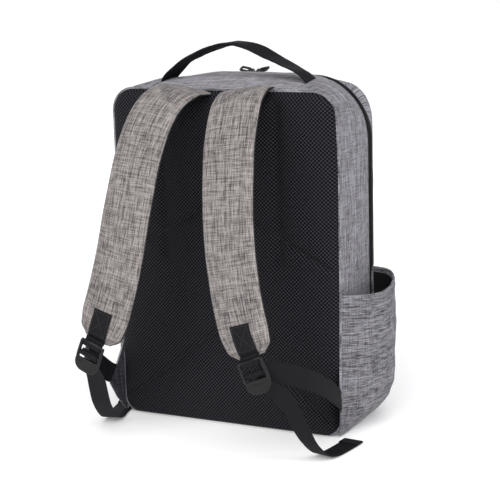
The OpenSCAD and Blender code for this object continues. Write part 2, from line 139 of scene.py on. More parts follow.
def settle(p):
    """The filled bag as it stands: its right side a little wider at the back and narrower at the zip,
    and its crest running out towards the top corners."""
    x, y, z = (p[..., k] for k in range(3))
    back = np.interp(z, [0, 30, 200, 330, 400, 425], [2.0, 3.0, 4.6, 5.0, 2.5, 0])
    zip_ = np.interp(z, [0, 60, 200, 400, 440], [2.5, 3.5, 4.8, 5.0, 4.0])
    back = back * (1 - smoothstep(-80, 0, y)) * smoothstep(-190, -100, y)
    q = p.copy()
    q[..., 0] += (back - zip_ * smoothstep(-20, 38, y)) * smoothstep(60, 145, x)
    crest = np.interp(y, [-20, 0, 22, 36, 43], [0, 5.5, 7.0, 2.4, 0])
    q[..., 2] -= crest * smoothstep(45, 105, np.abs(x)) * smoothstep(370, 420, z)
    return q


def rework(me, merge=None):
    """Merges points closer than merge, in metres, or without it turns all faces outwards."""
    bm = bmesh.new()
    bm.from_mesh(me)
    if merge:
        bmesh.ops.remove_doubles(bm, verts=bm.verts, dist=merge)
    else:
        bmesh.ops.recalc_face_normals(bm, faces=bm.faces)
    bm.to_mesh(me)
    bm.free()


def link(name, data):
    o = bpy.data.objects.new(name, data)
    scene.collection.objects.link(o)
    return o


def make(name, verts, faces, uvs, mat, sharp=40, draft=False, inside=None):
    """A mesh object from points in mm, faces, and for each face the UVs of its corners in mm. A draft
    keeps its points as given, and inside is a second material with each face's material index."""
    me = bpy.data.meshes.new(name)
    verts = np.asarray(verts, float).reshape(-1, 3)
    me.from_pydata(((verts if draft else settle(verts)) * MM).tolist(), [], [list(f) for f in faces])
    if uvs is not None:
        layer = me.uv_layers.new(name="cloth")
        flat = np.concatenate([np.asarray(u, float).reshape(-1, 2) for u in uvs]) * MM
        layer.data.foreach_set("uv", flat.ravel().astype(np.float32))
    me.materials.append(mat)
    if inside:
        me.materials.append(inside[0])
        me.polygons.foreach_set("material_index", inside[1])
    me.polygons.foreach_set("use_smooth", [True] * len(me.polygons))
    me.validate()
    rework(me)
    me.set_sharp_from_angle(angle=math.radians(sharp))
    return link(name, me)


def attach(o, body, *nodes, fill=None, **bend):
    """Fixes a piece to a body, or, given start and end points, only bakes its transform and fixes it to no
    body, and hides the CAD nodes it stands for.
    The points' values and fill are not used."""
    if bend:
        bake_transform(o)
    else:
        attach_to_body(o, body)
    if nodes:
        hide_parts(*nodes)


def quads(m, n, start=0, flip=False, loop=False):
    i, j = np.meshgrid(np.arange(m - 1), np.arange(n if loop else n - 1), indexing="ij")
    k = (j + 1) % n
    f = start + np.stack([i * n + j, i * n + k, (i + 1) * n + k, (i + 1) * n + j], -1).reshape(-1, 4)
    return f[:, ::-1] if flip else f


def rim_of(m, n):
    """Indices of the border points of a grid, in order."""
    return np.concatenate([np.arange(n), np.arange(2 * n - 1, m * n, n),
                           np.arange(m * n - 2, (m - 1) * n - 1, -1), np.arange((m - 2) * n, 0, -n)])


def shell(name, p, thick, uv, mat, inward, inner_shade=None):
    """Closed cloth of the given thickness: p is its outer face as a grid, inward a point it turns from."""
    m, n = p.shape[:2]
    q = p - normals(p, inward) * np.broadcast_to(np.asarray(thick, float), (m, n))[..., None]
    ring = rim_of(m, n)
    nxt = np.roll(ring, -1)
    rim = np.stack([nxt, ring, ring + m * n, nxt + m * n], 1)
    faces = np.concatenate([quads(m, n), quads(m, n, m * n, True), rim])
    flat = np.concatenate([uv.reshape(-1, 2)] * 2)
    count = (m - 1) * (n - 1)
    side = np.repeat([0, 1, 0], [count, count, len(rim)])
    # A second material, given only for the wings, paints shade on the inner faces
    return make(name, np.stack([p, q]), faces, [flat[faces]], mat, 50,
                inside=(inner_shade, side) if inner_shade else None)


def frames_of(path, across):
    t = unit(np.gradient(path, axis=0))
    a = unit(across - np.sum(across * t, 1, keepdims=True) * t)
    return t, a, np.cross(a, t)


def sweep(path, across, sections):
    """Rings along a path: sections holds one (across, out) outline in mm, or one for each point."""
    _, a, o = frames_of(path, across)
    return path[:, None] + a[:, None] * sections[..., :1] + o[:, None] * sections[..., 1:]


def tube(name, rings, mat, lengths=None):
    """Closed solid through rings of equally many points, with flat ends."""
    m, n = rings.shape[:2]
    faces = [list(f) for f in quads(m, n, loop=True)]
    v = length_along(rings.mean(1)) if lengths is None else lengths
    u = length_along(np.concatenate([rings, rings[:, :1]], 1)[m // 2])
    i, j = np.meshgrid(np.arange(m - 1), np.arange(n), indexing="ij")
    uvs = [np.stack([np.stack([u[j + a], v[i + b]], -1) for a, b in ((0, 0), (1, 0), (1, 1), (0, 1))], 2)]
    for k, order in ((0, range(n - 1, -1, -1)), (m - 1, range(n))):
        order = list(order)
        faces.append([k * n + q for q in order])
        c = rings[k].mean(0)
        e = unit(rings[k][n // 4] - c)
        g = unit(np.cross(e, rings[k][0] - c + 1e-6))
        uvs.append(np.stack([(rings[k][order] - c) @ e, (rings[k][order] - c) @ np.cross(g, e)], 1))
    return make(name, rings, faces, uvs, mat)


def flat_section(width, thick, corner=0.35, n_side=6):
    """Section of a flat strip with softly rounded edges, one for each width and thickness given."""
    width, thick = (np.atleast_1d(np.asarray(v, float))[:, None] for v in (width, thick))
    flat = np.linspace(-0.5, 0.5, n_side) * (width - 2 * corner * thick)
    edge, tip = thick / 2 + 0 * flat, width / 2
    return np.stack([np.hstack([flat, tip, flat[:, ::-1], -tip]),
                     np.hstack([-edge, 0 * tip, edge, 0 * tip])], -1)


def strip(name, path, across, width, thick, mat):
    return tube(name, sweep(path, across, flat_section(width, thick)), mat)


def joined(name, objs):
    """One object made of several."""
    with bpy.context.temp_override(active_object=objs[0], selected_editable_objects=objs,
                                   selected_objects=objs, object=objs[0]):
        bpy.ops.object.join()
    objs[0].name = objs[0].data.name = name
    return objs[0]


def bevelled(outline, z0, z1, bevel, mat, place, segments=3):
    """Plate from a 2-D outline in mm, its edges rounded, put in place by a 4x4 matrix in mm."""
    bm = bmesh.new()
    face = bm.faces.new([bm.verts.new((x, y, z0)) for x, y in outline])
    up = bmesh.ops.extrude_face_region(bm, geom=[face])
    bmesh.ops.translate(bm, vec=(0, 0, z1 - z0),
                        verts=[g for g in up["geom"] if isinstance(g, bmesh.types.BMVert)])
    bmesh.ops.recalc_face_normals(bm, faces=bm.faces)
    edges = [e for e in bm.edges if e.calc_face_angle(0) > math.radians(28)]
    bmesh.ops.bevel(bm, geom=edges, offset=bevel, segments=segments, profile=0.5, affect="EDGES",
                    clamp_overlap=True)
    bmesh.ops.transform(bm, matrix=place, verts=bm.verts)
    bmesh.ops.scale(bm, vec=(MM, MM, MM), verts=bm.verts)
    me = bpy.data.meshes.new("plate")
    bm.to_mesh(me)
    bm.free()
    me.materials.append(mat)
    me.polygons.foreach_set("use_smooth", [True] * len(me.polygons))
    me.set_sharp_from_angle(angle=math.radians(35))
    return link("plate", me)


def rod(a, b, r, mat, squash=1.0, side=(0, 1, 0)):
    """Round bar from a to b with rounded ends."""
    a, b = np.array(a, float), np.array(b, float)
    d = unit(b - a)
    e = unit(np.array(side, float) - np.dot(side, d) * d)
    section = ellipse(20, r * squash, r)
    ring = section[:, :1] * e + section[:, 1:] * np.cross(d, e)
    ends = [(0, 0.55), (0.12 * r, 0.82), (0.45 * r, 1)]
    stations = ends + [(np.linalg.norm(b - a) - s, k) for s, k in ends[::-1]]
    return tube("rod", np.stack([a + d * s + ring * k for s, k in stations]), mat)


def stitches(name, path, normal, mat, pitch, length, r=0.28, lift=0.15):
    """Row of sewn stitches along a path: short capsules half sunk in the cloth."""
    s = length_along(path)
    count = max(int(s[-1] / pitch), 1)
    ts = (np.arange(count) + 0.5) * s[-1] / count
    at = read_at(ts, s, path)
    d = unit(read_at(np.minimum(ts + 0.5, s[-1]), s, path) - at)
    nm = unit(normal - np.sum(normal * d, 1, keepdims=True) * d)
    round_ = ellipse(6, r, r)
    ring = np.cross(d, nm)[:, None] * round_[:, :1] + nm[:, None] * round_[:, 1:]
    rings = [(at + nm * (lift - sunk) + d * (q * length))[:, None] + ring * k
             for q, k, sunk in ((-0.5, 0.35, 0.25), (-0.3, 1, 0), (0.3, 1, 0), (0.5, 0.35, 0.25))]
    faces = []
    for base in range(0, 24 * count, 24):
        faces += [*quads(4, 6, base, loop=True), range(base + 5, base - 1, -1), range(base + 18, base + 24)]
    return make(name, np.stack(rings, 1), faces, None, mat, 60)


# ---------------------------------------------------------------- materials


class Look:
    """A material in the making: its node tree, its Principled shader, and the coordinates it is laid
    out in, which are the cloth's own or, for hard parts, the object's, in metres."""

    def __init__(self, name, use_uv=True):
        self.made = bpy.data.materials.new(name)
        self.made.use_nodes = True
        self.nt = self.made.node_tree
        self.shader = self.nt.nodes["Principled BSDF"]
        self.at = self.node("UVMap", uv_map="cloth").outputs[0] if use_uv \
            else self.node("TexCoord").outputs["Object"]

    def wire(self, n, inputs):
        """Links or sets each named input of a node."""
        for k, v in inputs.items():
            if isinstance(v, bpy.types.NodeSocket):
                self.nt.links.new(v, n.inputs[k])
            else:
                n.inputs[k].default_value = v
        return n

    def node(self, kind, inputs={}, **props):
        n = self.nt.nodes.new("ShaderNode" + kind)
        for k, v in props.items():
            setattr(n, k, v)
        return self.wire(n, inputs)

    def math(self, op, a, b=0.0, c=0.0):
        return self.node("Math", {0: a, 1: b, 2: c}, operation=op).outputs[0]

    def vector(self, op, a, b=(0, 0, 0), out="Vector"):
        return self.node("VectorMath", {0: a, 1: b}, operation=op).outputs[out]

    def total(self, *terms):
        """Sum of (value, weight) pairs."""
        parts = [self.math("MULTIPLY", value, weight) for value, weight in terms]
        out = parts[0]
        for p in parts[1:]:
            out = self.math("ADD", out, p)
        return out

    def noise(self, cell, detail, rough):
        """Noise whose cells measure cell, in metres, along each axis."""
        cells = cell if hasattr(cell, "__len__") else (cell,) * 3
        m = self.node("Mapping", {"Vector": self.at, "Scale": [1 / s for s in cells]})
        return self.node("TexNoise", {"Vector": m.outputs[0], "Scale": 1.0, "Detail": detail,
                                      "Roughness": rough}).outputs["Fac"]

    def ramp(self, fac, base, stops):
        """Colour ramp: each stop is a position and a factor on the base colour."""
        r = self.node("ValToRGB", {"Fac": fac})
        while len(r.color_ramp.elements) < len(stops):
            r.color_ramp.elements.new(0.5)
        for e, (pos, k) in zip(r.color_ramp.elements, stops):
            e.position = pos
            e.color = (*(k if hasattr(k, "__len__") else [c * k for c in base]), 1)
        return r.outputs[0]

    def slubs(self, runs_up, thread, slub):
        """Melange yarns that run up or across: each yarn has its own row of light and dark stretches."""
        part = self.node("SeparateXYZ", {0: self.at}).outputs
        across, along = (part[0], part[1]) if runs_up else (part[1], part[0])
        drift = self.noise(0.06, 1.0, 0.5)
        row = self.math("FLOOR", self.math("ADD", self.math("DIVIDE", across, thread), drift))
        start = self.node("TexWhiteNoise", {"W": row}, noise_dimensions="1D").outputs["Value"]
        place = self.math("MULTIPLY_ADD", start, 61.0, self.math("DIVIDE", along, slub))
        spot = self.node("CombineXYZ", {0: self.math("MULTIPLY", row, 0.737), 1: place})
        tone = self.node("TexNoise", {"Vector": spot.outputs[0], "Scale": 1.0, "Detail": 2.5,
                                      "Roughness": 0.5}, noise_dimensions="2D").outputs["Fac"]
        return self.math("MULTIPLY_ADD", self.math("SUBTRACT", start, 0.5), 0.16, tone)

    def finish(self, height, strength, distance, inputs):
        """Gives the shader its relief and its other inputs."""
        relief = self.node("Bump", {"Height": height, "Strength": strength, "Distance": distance})
        self.wire(self.shader, {"Normal": relief.outputs[0], **inputs})
        return self.made


def heather(name, tint, up, side, slub=0.020, thread=0.00088, spread=0.18):
    """Two-tone melange cloth. up and side weight the yarns that run up and across the piece."""
    k = Look(name)
    grain, broad = 0.26, 0.03
    yarns = [k.slubs(runs_up, thread, slub) for runs_up in (True, False)]
    mixed = k.total((yarns[0], up), (yarns[1], side), (k.noise(0.0008, 1.0, 0.5), grain),
                    (k.noise(0.03, 1.0, 0.5), broad))
    mid = (up + side + grain + broad) / 2
    fac = k.node("MapRange", {"Value": mixed, "From Min": mid - spread, "From Max": mid + spread})
    colour = k.ramp(fac.outputs[0], tint, [(0.0, 0.16), (0.34, 0.50), (0.55, 0.78), (1.0, 1.25)])
    return k.finish(mixed, 0.45, 0.0004, {"Base Color": colour, "Roughness": 0.9, "Sheen Weight": 0.06,
                                          "Sheen Roughness": 0.5, "Specular IOR Level": 0.12})


def air_mesh(name, thread=(0.0245, 0.0242, 0.031), pitch=(0.0046, 0.0047), radius=0.00132):
    """Spacer mesh: round holes on a centred square lattice."""
    k = Look(name)
    holes = []
    for shift in (0.0, 0.5):
        cell = k.node("Mapping", {"Vector": k.at, "Scale": (1 / pitch[0], 1 / pitch[1], 1),
                                  "Location": (shift, shift, 0)}).outputs[0]
        c = k.vector("SUBTRACT", k.vector("FRACTION", cell), (0.5, 0.5, 0))
        holes.append(k.vector("LENGTH", k.vector("MULTIPLY", c, (1, 1, 0)), out="Value"))
    r = radius / pitch[0]
    rim = k.node("MapRange", {"Value": k.math("MINIMUM", *holes), "From Min": r * 0.72,
                              "From Max": r * 1.35}, interpolation_type="SMOOTHSTEP").outputs[0]
    fuzz = k.noise((0.0012, 0.0005, 0.001), 3.0, 0.65)
    lit = k.math("MULTIPLY", rim, k.math("ADD", k.math("MULTIPLY", fuzz, 0.9), 0.45))
    colour = k.ramp(lit, thread, [(0.0, (0.0008, 0.0008, 0.0011)), (0.45, 0.34), (0.95, 1.6)])
    relief = k.math("ADD", rim, k.math("MULTIPLY", fuzz, 0.25))
    return k.finish(relief, 0.9, 0.0009, {"Base Color": colour, "Roughness": 0.7,
                                          "Specular IOR Level": 0.10})


def ribbed(name, colour=(0.0048, 0.0046, 0.0062), pitch=0.0011, rough=0.72):
    """Narrow woven webbing: fine cross ribs and lengthwise warp rows."""
    k = Look(name)
    ribs = k.node("TexWave", {"Vector": k.at, "Scale": 0.3 / pitch, "Distortion": 0.35, "Detail": 1.0,
                              "Detail Scale": 2.0}, bands_direction="Y").outputs["Fac"]
    rows = k.node("TexWave", {"Vector": k.at, "Scale": 0.3 / (pitch * 1.5), "Distortion": 0.2},
                  bands_direction="X").outputs["Fac"]
    h = k.total((k.total((ribs, 0.65), (rows, 0.35)), 0.75), (k.noise(0.0016, 3.0, 0.6), 0.5))
    return k.finish(h, 0.5, 0.0004, {"Base Color": k.ramp(h, colour, [(0.3, 0.3), (0.75, 1.9)]),
                                     "Roughness": rough, "Specular IOR Level": 0.14})


def plain(name, colour, rough, metallic=0.0, depth=0.00008, gloss=0.5):
    """Plastic, metal, thread, foam or board, with fine grain and slight variation of shade and gloss."""
    k = Look(name, use_uv=False)
    g = k.noise(0.0015, 3.0, 0.6)
    mixed = k.total((g, 0.5), (k.noise(0.03, 2.0, 0.5), 0.5))
    worn = k.node("MapRange", {"Value": mixed, "To Min": rough - 0.07, "To Max": rough + 0.07})
    return k.finish(g, 0.5, depth, {"Base Color": k.ramp(mixed, colour, [(0.25, 0.88), (0.75, 1.12)]),
                                    "Roughness": worn.outputs[0], "Metallic": metallic,
                                    "Specular IOR Level": gloss})


GREY = (0.262, 0.253, 0.28)
M = {
    "strap": heather("heather_strap", (0.262, 0.238, 0.232), 0.55, 0.42),
    "gusset": heather("heather_gusset", GREY, 0.6, 0.3, spread=0.15),
    # Painted shade: a dark copy of the grey heather cloth, for the wings' inner faces
    "wing_painted_shade": heather("heather_painted_shade", (0.045, 0.045, 0.056), 0.5, 0.4),
    "yoke": heather("heather_yoke", (0.325, 0.312, 0.345), 0.3, 0.62),
    "pocket": heather("heather_pocket", (0.218, 0.21, 0.232), 0.28, 0.64, slub=0.016, spread=0.16),
    "front": heather("heather_front", GREY, 0.6, 0.3),
    "mesh": air_mesh("air_mesh"),
    "web": ribbed("webbing"),
    "tape": ribbed("zip_tape", (0.0062, 0.0062, 0.0068), 0.0009),
    "elastic": ribbed("elastic_binding", (0.012, 0.012, 0.013), 0.0016),
    "lining": ribbed("lining_cloth", (0.030, 0.030, 0.033), 0.0006, rough=0.6),
    "pocket_lining": ribbed("pocket_lining_cloth", (0.007, 0.007, 0.008), 0.0006, rough=0.7),
    "base": ribbed("base_cloth", (0.014, 0.014, 0.015), 0.0008, rough=0.7),
    "plastic": plain("lock_plastic", (0.0042, 0.0042, 0.0052), 0.27, gloss=0.28),
    "metal": plain("zip_metal", (0.014, 0.014, 0.015), 0.42, metallic=0.35, depth=0.00004),
    "coil": plain("zip_coil", (0.007, 0.007, 0.0075), 0.42),
    "thread": plain("thread_black", (0.020, 0.020, 0.022), 0.6),
    "thread_grey": plain("thread_grey", (0.085, 0.085, 0.09), 0.7),
    "foam": plain("foam", (0.62, 0.61, 0.56), 0.9, depth=0.0003),
    "board": plain("board", (0.02, 0.02, 0.021), 0.6, depth=0.0002),
}

# ---------------------------------------------------------------- cloth simulation

CLOTH_FRAMES, CLOTH_MASS = 18, 0.25


def simulate(o, hold, pressure, cap, tension, bending):
    """Runs pressure cloth on the mesh with held points kept, and keeps each point within cap mm."""
    rest = np.array([v.co for v in o.data.vertices], float)
    group = o.vertex_groups.new(name="hold")
    hold = np.round(np.asarray(hold, float).ravel(), 2)
    for w in np.unique(hold[hold > 0]):
        group.add(np.nonzero(hold == w)[0].tolist(), float(w), "REPLACE")
    mod = o.modifiers.new("cloth", "CLOTH")
    cs = mod.settings
    cs.quality = 6
    cs.mass = CLOTH_MASS
    cs.tension_stiffness = cs.compression_stiffness = tension
    cs.shear_stiffness = tension * 0.6
    cs.bending_stiffness = bending
    cs.vertex_group_mass = "hold"
    cs.pin_stiffness = 5
    cs.use_pressure = True
    cs.uniform_pressure_force = pressure
    cs.effector_weights.gravity = 0
    mod.collision_settings.use_collision = False
    mod.collision_settings.use_self_collision = False
    mod.point_cache.frame_start, mod.point_cache.frame_end = 1, CLOTH_FRAMES
    for f in range(1, CLOTH_FRAMES + 1):
        scene.frame_set(f)
    ev = o.evaluated_get(bpy.context.evaluated_depsgraph_get())
    me = ev.to_mesh()
    got = np.zeros(len(me.vertices) * 3)
    me.vertices.foreach_get("co", got)
    ev.to_mesh_clear()
    o.modifiers.remove(mod)
    o.vertex_groups.remove(group)
    scene.frame_set(1)
    move = got.reshape(-1, 3) - rest
    size = np.linalg.norm(move, axis=1, keepdims=True)
    move *= np.minimum(1, cap * MM / np.maximum(size, 1e-9))
    move[~np.isfinite(move).all(1)] = 0
    o.data.vertices.foreach_set("co", (rest + move).astype(np.float32).ravel())
    o.data.update()


def swelled(p, hold, loop=False, **kw):
    """The grid p after a pressure simulation, as a grid again."""
    m, n = p.shape[:2]
    o = make("swell", p, quads(m, n, loop=loop), None, M["board"], draft=True)
    simulate(o, hold, **kw)
    q = np.array([v.co for v in o.data.vertices], float).reshape(m, n, 3) / MM
    bpy.data.objects.remove(o, do_unlink=True)
    return q


# ---------------------------------------------------------------- the bag's form

HALF_W, BACK_Y, ZIP_Y, FLAP_Y, FRONT_Y = 150.0, -80.0, 38.0, 48.3, 80.0
BACK_H, BAG_H, FLAP_Z, BASE_Z, BACK_R, FOOT_R = 420.0, 427.0, 190.0, 12.0, 28.0, 20.0
MIDDLE = (0, 0, 215)
YOKE_X = 100.0
# Height of the top over the depth: it swells up before the zip, which lies behind the crest
CREST = np.array([[-80, -60, -40, -20, 0, 12, 22, 30, 35, 38, 43, 48.3],
                  [420, 423.6, 426.6, 429.2, 431.4, 432.6, 433.0, 432.2, 430.2, 428.2, 427, 427]])
# The front's rim: depth past the flap seam, then change of half width, bottom, top, and corner radius
FRONT_ROWS = np.array([[0, 0, 0, 0, 80], [2, -0.2, 0, -0.8, 72], [5, -0.6, 0.4, -2.2, 60],
                       [9, -1.6, 0.8, -5, 47], [14, -5, 1.5, -9, 39], [22, -11, 4, -14, 39],
                       [28, -16, 8, -20, 41], [31.7, -22, 14, -28, 43]])
WALL = 2.2


def station(y):
    """Half width, bottom, top, bottom and top corner radii of the bag's outline at depth y."""
    if y <= FLAP_Y:
        s = (y - BACK_Y) / (FLAP_Y - BACK_Y)
        return HALF_W, 0.0, np.interp(y, CREST[0], CREST[1]), FOOT_R, BACK_R + (80 - BACK_R) * s
    r = [np.interp(y - FLAP_Y, FRONT_ROWS[:, 0], FRONT_ROWS[:, k]) for k in range(1, 5)]
    return HALF_W + r[0], r[1], BAG_H + r[2], FOOT_R + r[0] / 2, r[3]


def half_outline(w, z0, z1, rb, rt):
    """The right half of the bag's outline as (x, z), from the middle of the base to that of the top."""
    a = np.linspace(-math.pi / 2, 0, 24)
    c = np.linspace(0, math.pi / 2, 60)
    return np.concatenate([
        np.stack([np.linspace(0, w - rb, 20), np.full(20, z0)], 1)[:-1],
        np.stack([w - rb + rb * np.cos(a), z0 + rb + rb * np.sin(a)], 1)[:-1],
        np.stack([np.full(60, w), np.linspace(z0 + rb, z1 - rt, 60)], 1)[:-1],
        np.stack([w - rt + rt * np.cos(c), z1 - rt + rt * np.sin(c)], 1)[:-1],
        np.stack([np.linspace(w - rt, 0, 20), np.full(20, z1)], 1)])


def whole(h, last=None):
    """A half outline, carried on round the left side."""
    return np.vstack([h, (h * (-1, 1))[::-1][1:last]])


def at_depth(h, y):
    return np.stack([h[:, 0], np.full(len(h), y), h[:, 1]], 1)


def loop_at(h, y, n):
    """n points round the closed outline whose right half is h, at depth y."""
    h = whole(h, -1)
    return at_depth(even(np.vstack([h, h[:1]]), n + 1)[:-1], y)


def run(y, n, x_to):
    """n points along the outline at depth y on the right, from the base cloth to an x on the top."""
    p = half_outline(*station(y))
    s = length_along(p)
    a = np.interp(BASE_Z, p[:100, 1], s[:100])
    top = len(p) // 2
    b = np.interp(-x_to, -p[top:, 0], s[top:])
    return at_depth(read_at(np.linspace(a, b, n), s, p), y)


def stand_out(p, inset):
    """Moves grid points along their normals, away from the bag's middle."""
    return p + normals(p, MIDDLE) * np.asarray(inset)[..., None]


def border(m, n):
    h = np.ones((m, n))
    h[1:-1, 1:-1] = 0
    return h


def seam_rows():
    """Depths of the rows from the back seam to the main zip, and each one's distance to the nearer."""
    ys = np.linspace(BACK_Y + 0.4, ZIP_Y, 34)
    return ys, np.minimum(ys - ys[0], ys[-1] - ys)[:, None]


def build_gusset(side):
    """Side cloth from back seam to main zip, with soft folds near the pocket and the corners."""
    ys, edge = seam_rows()
    p = np.stack([run(y, 120, YOKE_X + 0.2) for y in ys])
    uv = grid(ys, length_along(p[len(ys) // 2]))
    y, z = p[..., 1], p[..., 2]
    fold = -1.6 * np.exp(-(((z - 196 - (y + 80) * 0.10) / 3.2) ** 2)) * smoothstep(48, -30, y)
    fold += 1.0 * np.exp(-(((z - 205 - (y + 80) * 0.12) / 6.0) ** 2)) * smoothstep(48, -30, y)
    fold += 0.9 * waves(p * arr(1, 1, 0.35), 70, 11 + side)
    crown = 2.4 * smoothstep(0, 16, edge) + fold * smoothstep(0, 10, edge)
    q = swelled(stand_out(p, crown * 0.55), border(*y.shape), pressure=1.2, cap=2.2, bending=1.0,
                tension=30)
    o = shell(f"gusset_cloth_{WORD[side]}", sided(q, side), WALL, uv, M["gusset"], MIDDLE)
    attach(o, "bag", f"gusset_{WORD[side]}", fill=0.3)


def build_yoke():
    ys, edge = seam_rows()
    rows = []
    for y in ys:
        h = run(y, 400, 0.0)
        h = h[h[:, 0] <= YOKE_X]
        rows.append(even(np.vstack([h, sided(h, -1)[::-1]]), 70))
    p = np.stack(rows)
    u = length_along(p[len(ys) // 2])
    calm = smoothstep(0, 10, np.minimum(u, u[-1] - u)[None])
    crown = 1.6 * smoothstep(0, 14, edge) * calm + 0.5 * waves(p, 60, 3) * smoothstep(0, 10, edge) * calm
    q = swelled(stand_out(p, crown), border(*crown.shape), pressure=1.0, cap=1.6, bending=1.0, tension=30)
    o = shell("yoke_cloth", q, WALL, grid(ys, u)[..., ::-1], M["yoke"], MIDDLE)
    attach(o, "bag", "yoke_top", fill=0.3)


def build_base():
    ys = np.linspace(BACK_Y + 0.4, FLAP_Y, 26)
    rows = []
    for y in ys:
        h = at_depth(half_outline(*station(y)), y)[:80]
        h = h[h[:, 2] <= BASE_Z - 0.2]
        rows.append(even(np.vstack([sided(h, -1)[::-1], h[1:]]), 90))
    p = np.stack(rows)
    u = length_along(p[0])
    lift = np.clip(0.5 + 0.4 * waves(p * arr(1, 1, 0), 80, 5), 0, 1)
    p[..., 2] += lift * smoothstep(0, 12, np.minimum(u, u[-1] - u))[None]
    o = shell("base_cloth", p, WALL, grid(ys, u)[..., ::-1], M["base"], (0, 0, 100))
    attach(o, "bag", "base_panel")


def build_front():
    """Lower front and flap: one cloth from the flap seam round the rim and in over the face."""
    n = 240
    ys = FLAP_Y + np.array([0.2, 2, 4, 7, 10, 14, 18, 22, 25, 28, 30, 31.3])
    rings = [loop_at(half_outline(*station(y)), y, n) for y in ys]
    last = rings[-1]
    core = last * (0, 1, 1)
    core[:, 2] = np.clip(last[:, 2], 120, 300)
    for s in np.linspace(0, 1, 26)[1:]:
        r = last * (1 - s) + core * s
        r[:, 1] = FRONT_Y - 0.4 + 2.6 * math.sin(math.pi / 2 * s)
        rings.append(r)
    p = np.stack(rings)
    m = len(p)
    face = smoothstep(70, 80, p[..., 1])
    p[..., 1] += face * (1.3 * waves(p * arr(1, 0, 1), 120, 21) + 0.5 * waves(p * arr(1, 0, 1), 34, 22))
    out = unit(p - arr(0, FRONT_Y, 200)) * (1 - face)[..., None] * (1.2 * waves(p, 90, 23))[..., None]
    p[1:-1] += out[1:-1] * smoothstep(0, 3, np.arange(m))[1:-1, None, None]
    p[..., 2] = np.maximum(p[..., 2], 0.0)
    # The weave runs straight over the face and on round its rim
    away = np.where(p[..., 1] < 79, 80 - p[..., 1], 0)[..., None]
    face_xz = p[..., [0, 2]]
    flat = face_xz + unit(face_xz - np.clip(face_xz, (-90, 60), (90, 367))) * away
    hold = p[..., 2] < 8
    hold[:2] = True
    p = swelled(p, hold, loop=True, pressure=1.5, cap=3.0, bending=1.5, tension=30)
    nrm = normals(p, (0, 40, 215), (m // 4, 10), loop=True)
    nrm[-1] = arr(0, 1, 0)
    ring = np.arange(n)
    nxt = np.roll(ring, -1)
    faces = np.concatenate([quads(m, n, loop=True), quads(m, n, m * n, True, True),
                            np.stack([nxt, ring, ring + m * n, nxt + m * n], 1)])
    uv = np.concatenate([flat.reshape(-1, 2)] * 2)
    o = make("front_cloth", np.stack([p, p - nrm * WALL]), faces, [uv[faces]], M["front"], 50)
    rework(o.data, merge=0.00002)
    attach(o, "front_flap", "front_lower", "front_panel", fill=0.3, **FLAP_BEND)


# Sewn channels of the back panel: line as (x, z), depth, width
CHANNELS = [
    ([(-150, 203), (0, 290), (150, 203)], 3.0, 3.4),
    ([(-140, 22), (-18, 115), (0, 126), (18, 115), (140, 22)], 3.0, 3.4),
    ([(-78, 404), (-78, 216)], 4.4, 7.0),
    ([(78, 404), (78, 216)], 4.4, 7.0),
]
BACK_NX, BACK_NZ, BACK_COARSE = 180, 250, 2


def line_distance(x, z, line):
    best = np.full(x.shape, 1e9)
    for (x0, z0), (x1, z1) in zip(line[:-1], line[1:]):
        d = arr(x1 - x0, z1 - z0)
        t = np.clip(((x - x0) * d[0] + (z - z0) * d[1]) / (d @ d), 0, 1)
        best = np.minimum(best, np.hypot(x - x0 - t * d[0], z - z0 - t * d[1]))
    return best


def edge_distance(x, z):
    """Distance in from the back panel's outline."""
    high = z > BACK_H / 2
    r = np.where(high, BACK_R, FOOT_R)
    dx = np.abs(x) - (HALF_W - r)
    dz = np.where(high, z - (BACK_H - r), r - z)
    flat = np.minimum(HALF_W - np.abs(x), np.minimum(z, BACK_H - z))
    return np.where((dx > 0) & (dz > 0), r - np.hypot(dx, dz), flat)


def pad_height(x, z):
    d = np.maximum(edge_distance(x, z), 0)
    h = np.interp(d, [0, 1, 2.2, 4, 7, 10, 14, 20, 27, 34], [0.2, 2.0, 3.6, 5.3, 7, 7.9, 8.6, 9.1, 9.5, 9.6])
    groove = np.zeros(x.shape)
    puff = np.full(x.shape, 1e9)
    for line, depth, width in CHANNELS:
        g = line_distance(x, z, line)
        groove = np.maximum(groove, depth * np.exp(-((g / width) ** 2)))
        puff = np.minimum(puff, g)
    h += 1.3 * smoothstep(0, 26, puff) * smoothstep(2, 26, d) - 0.4
    return np.maximum(h - groove * smoothstep(0, 8, d), 0.2)


def finer(a, n):
    """The grid a, known at every second of n rows, read at all of them."""
    known = np.arange(0, n, BACK_COARSE)
    return np.stack([read_at(np.arange(n), known, a[:, j]) for j in range(a.shape[1])], 1)


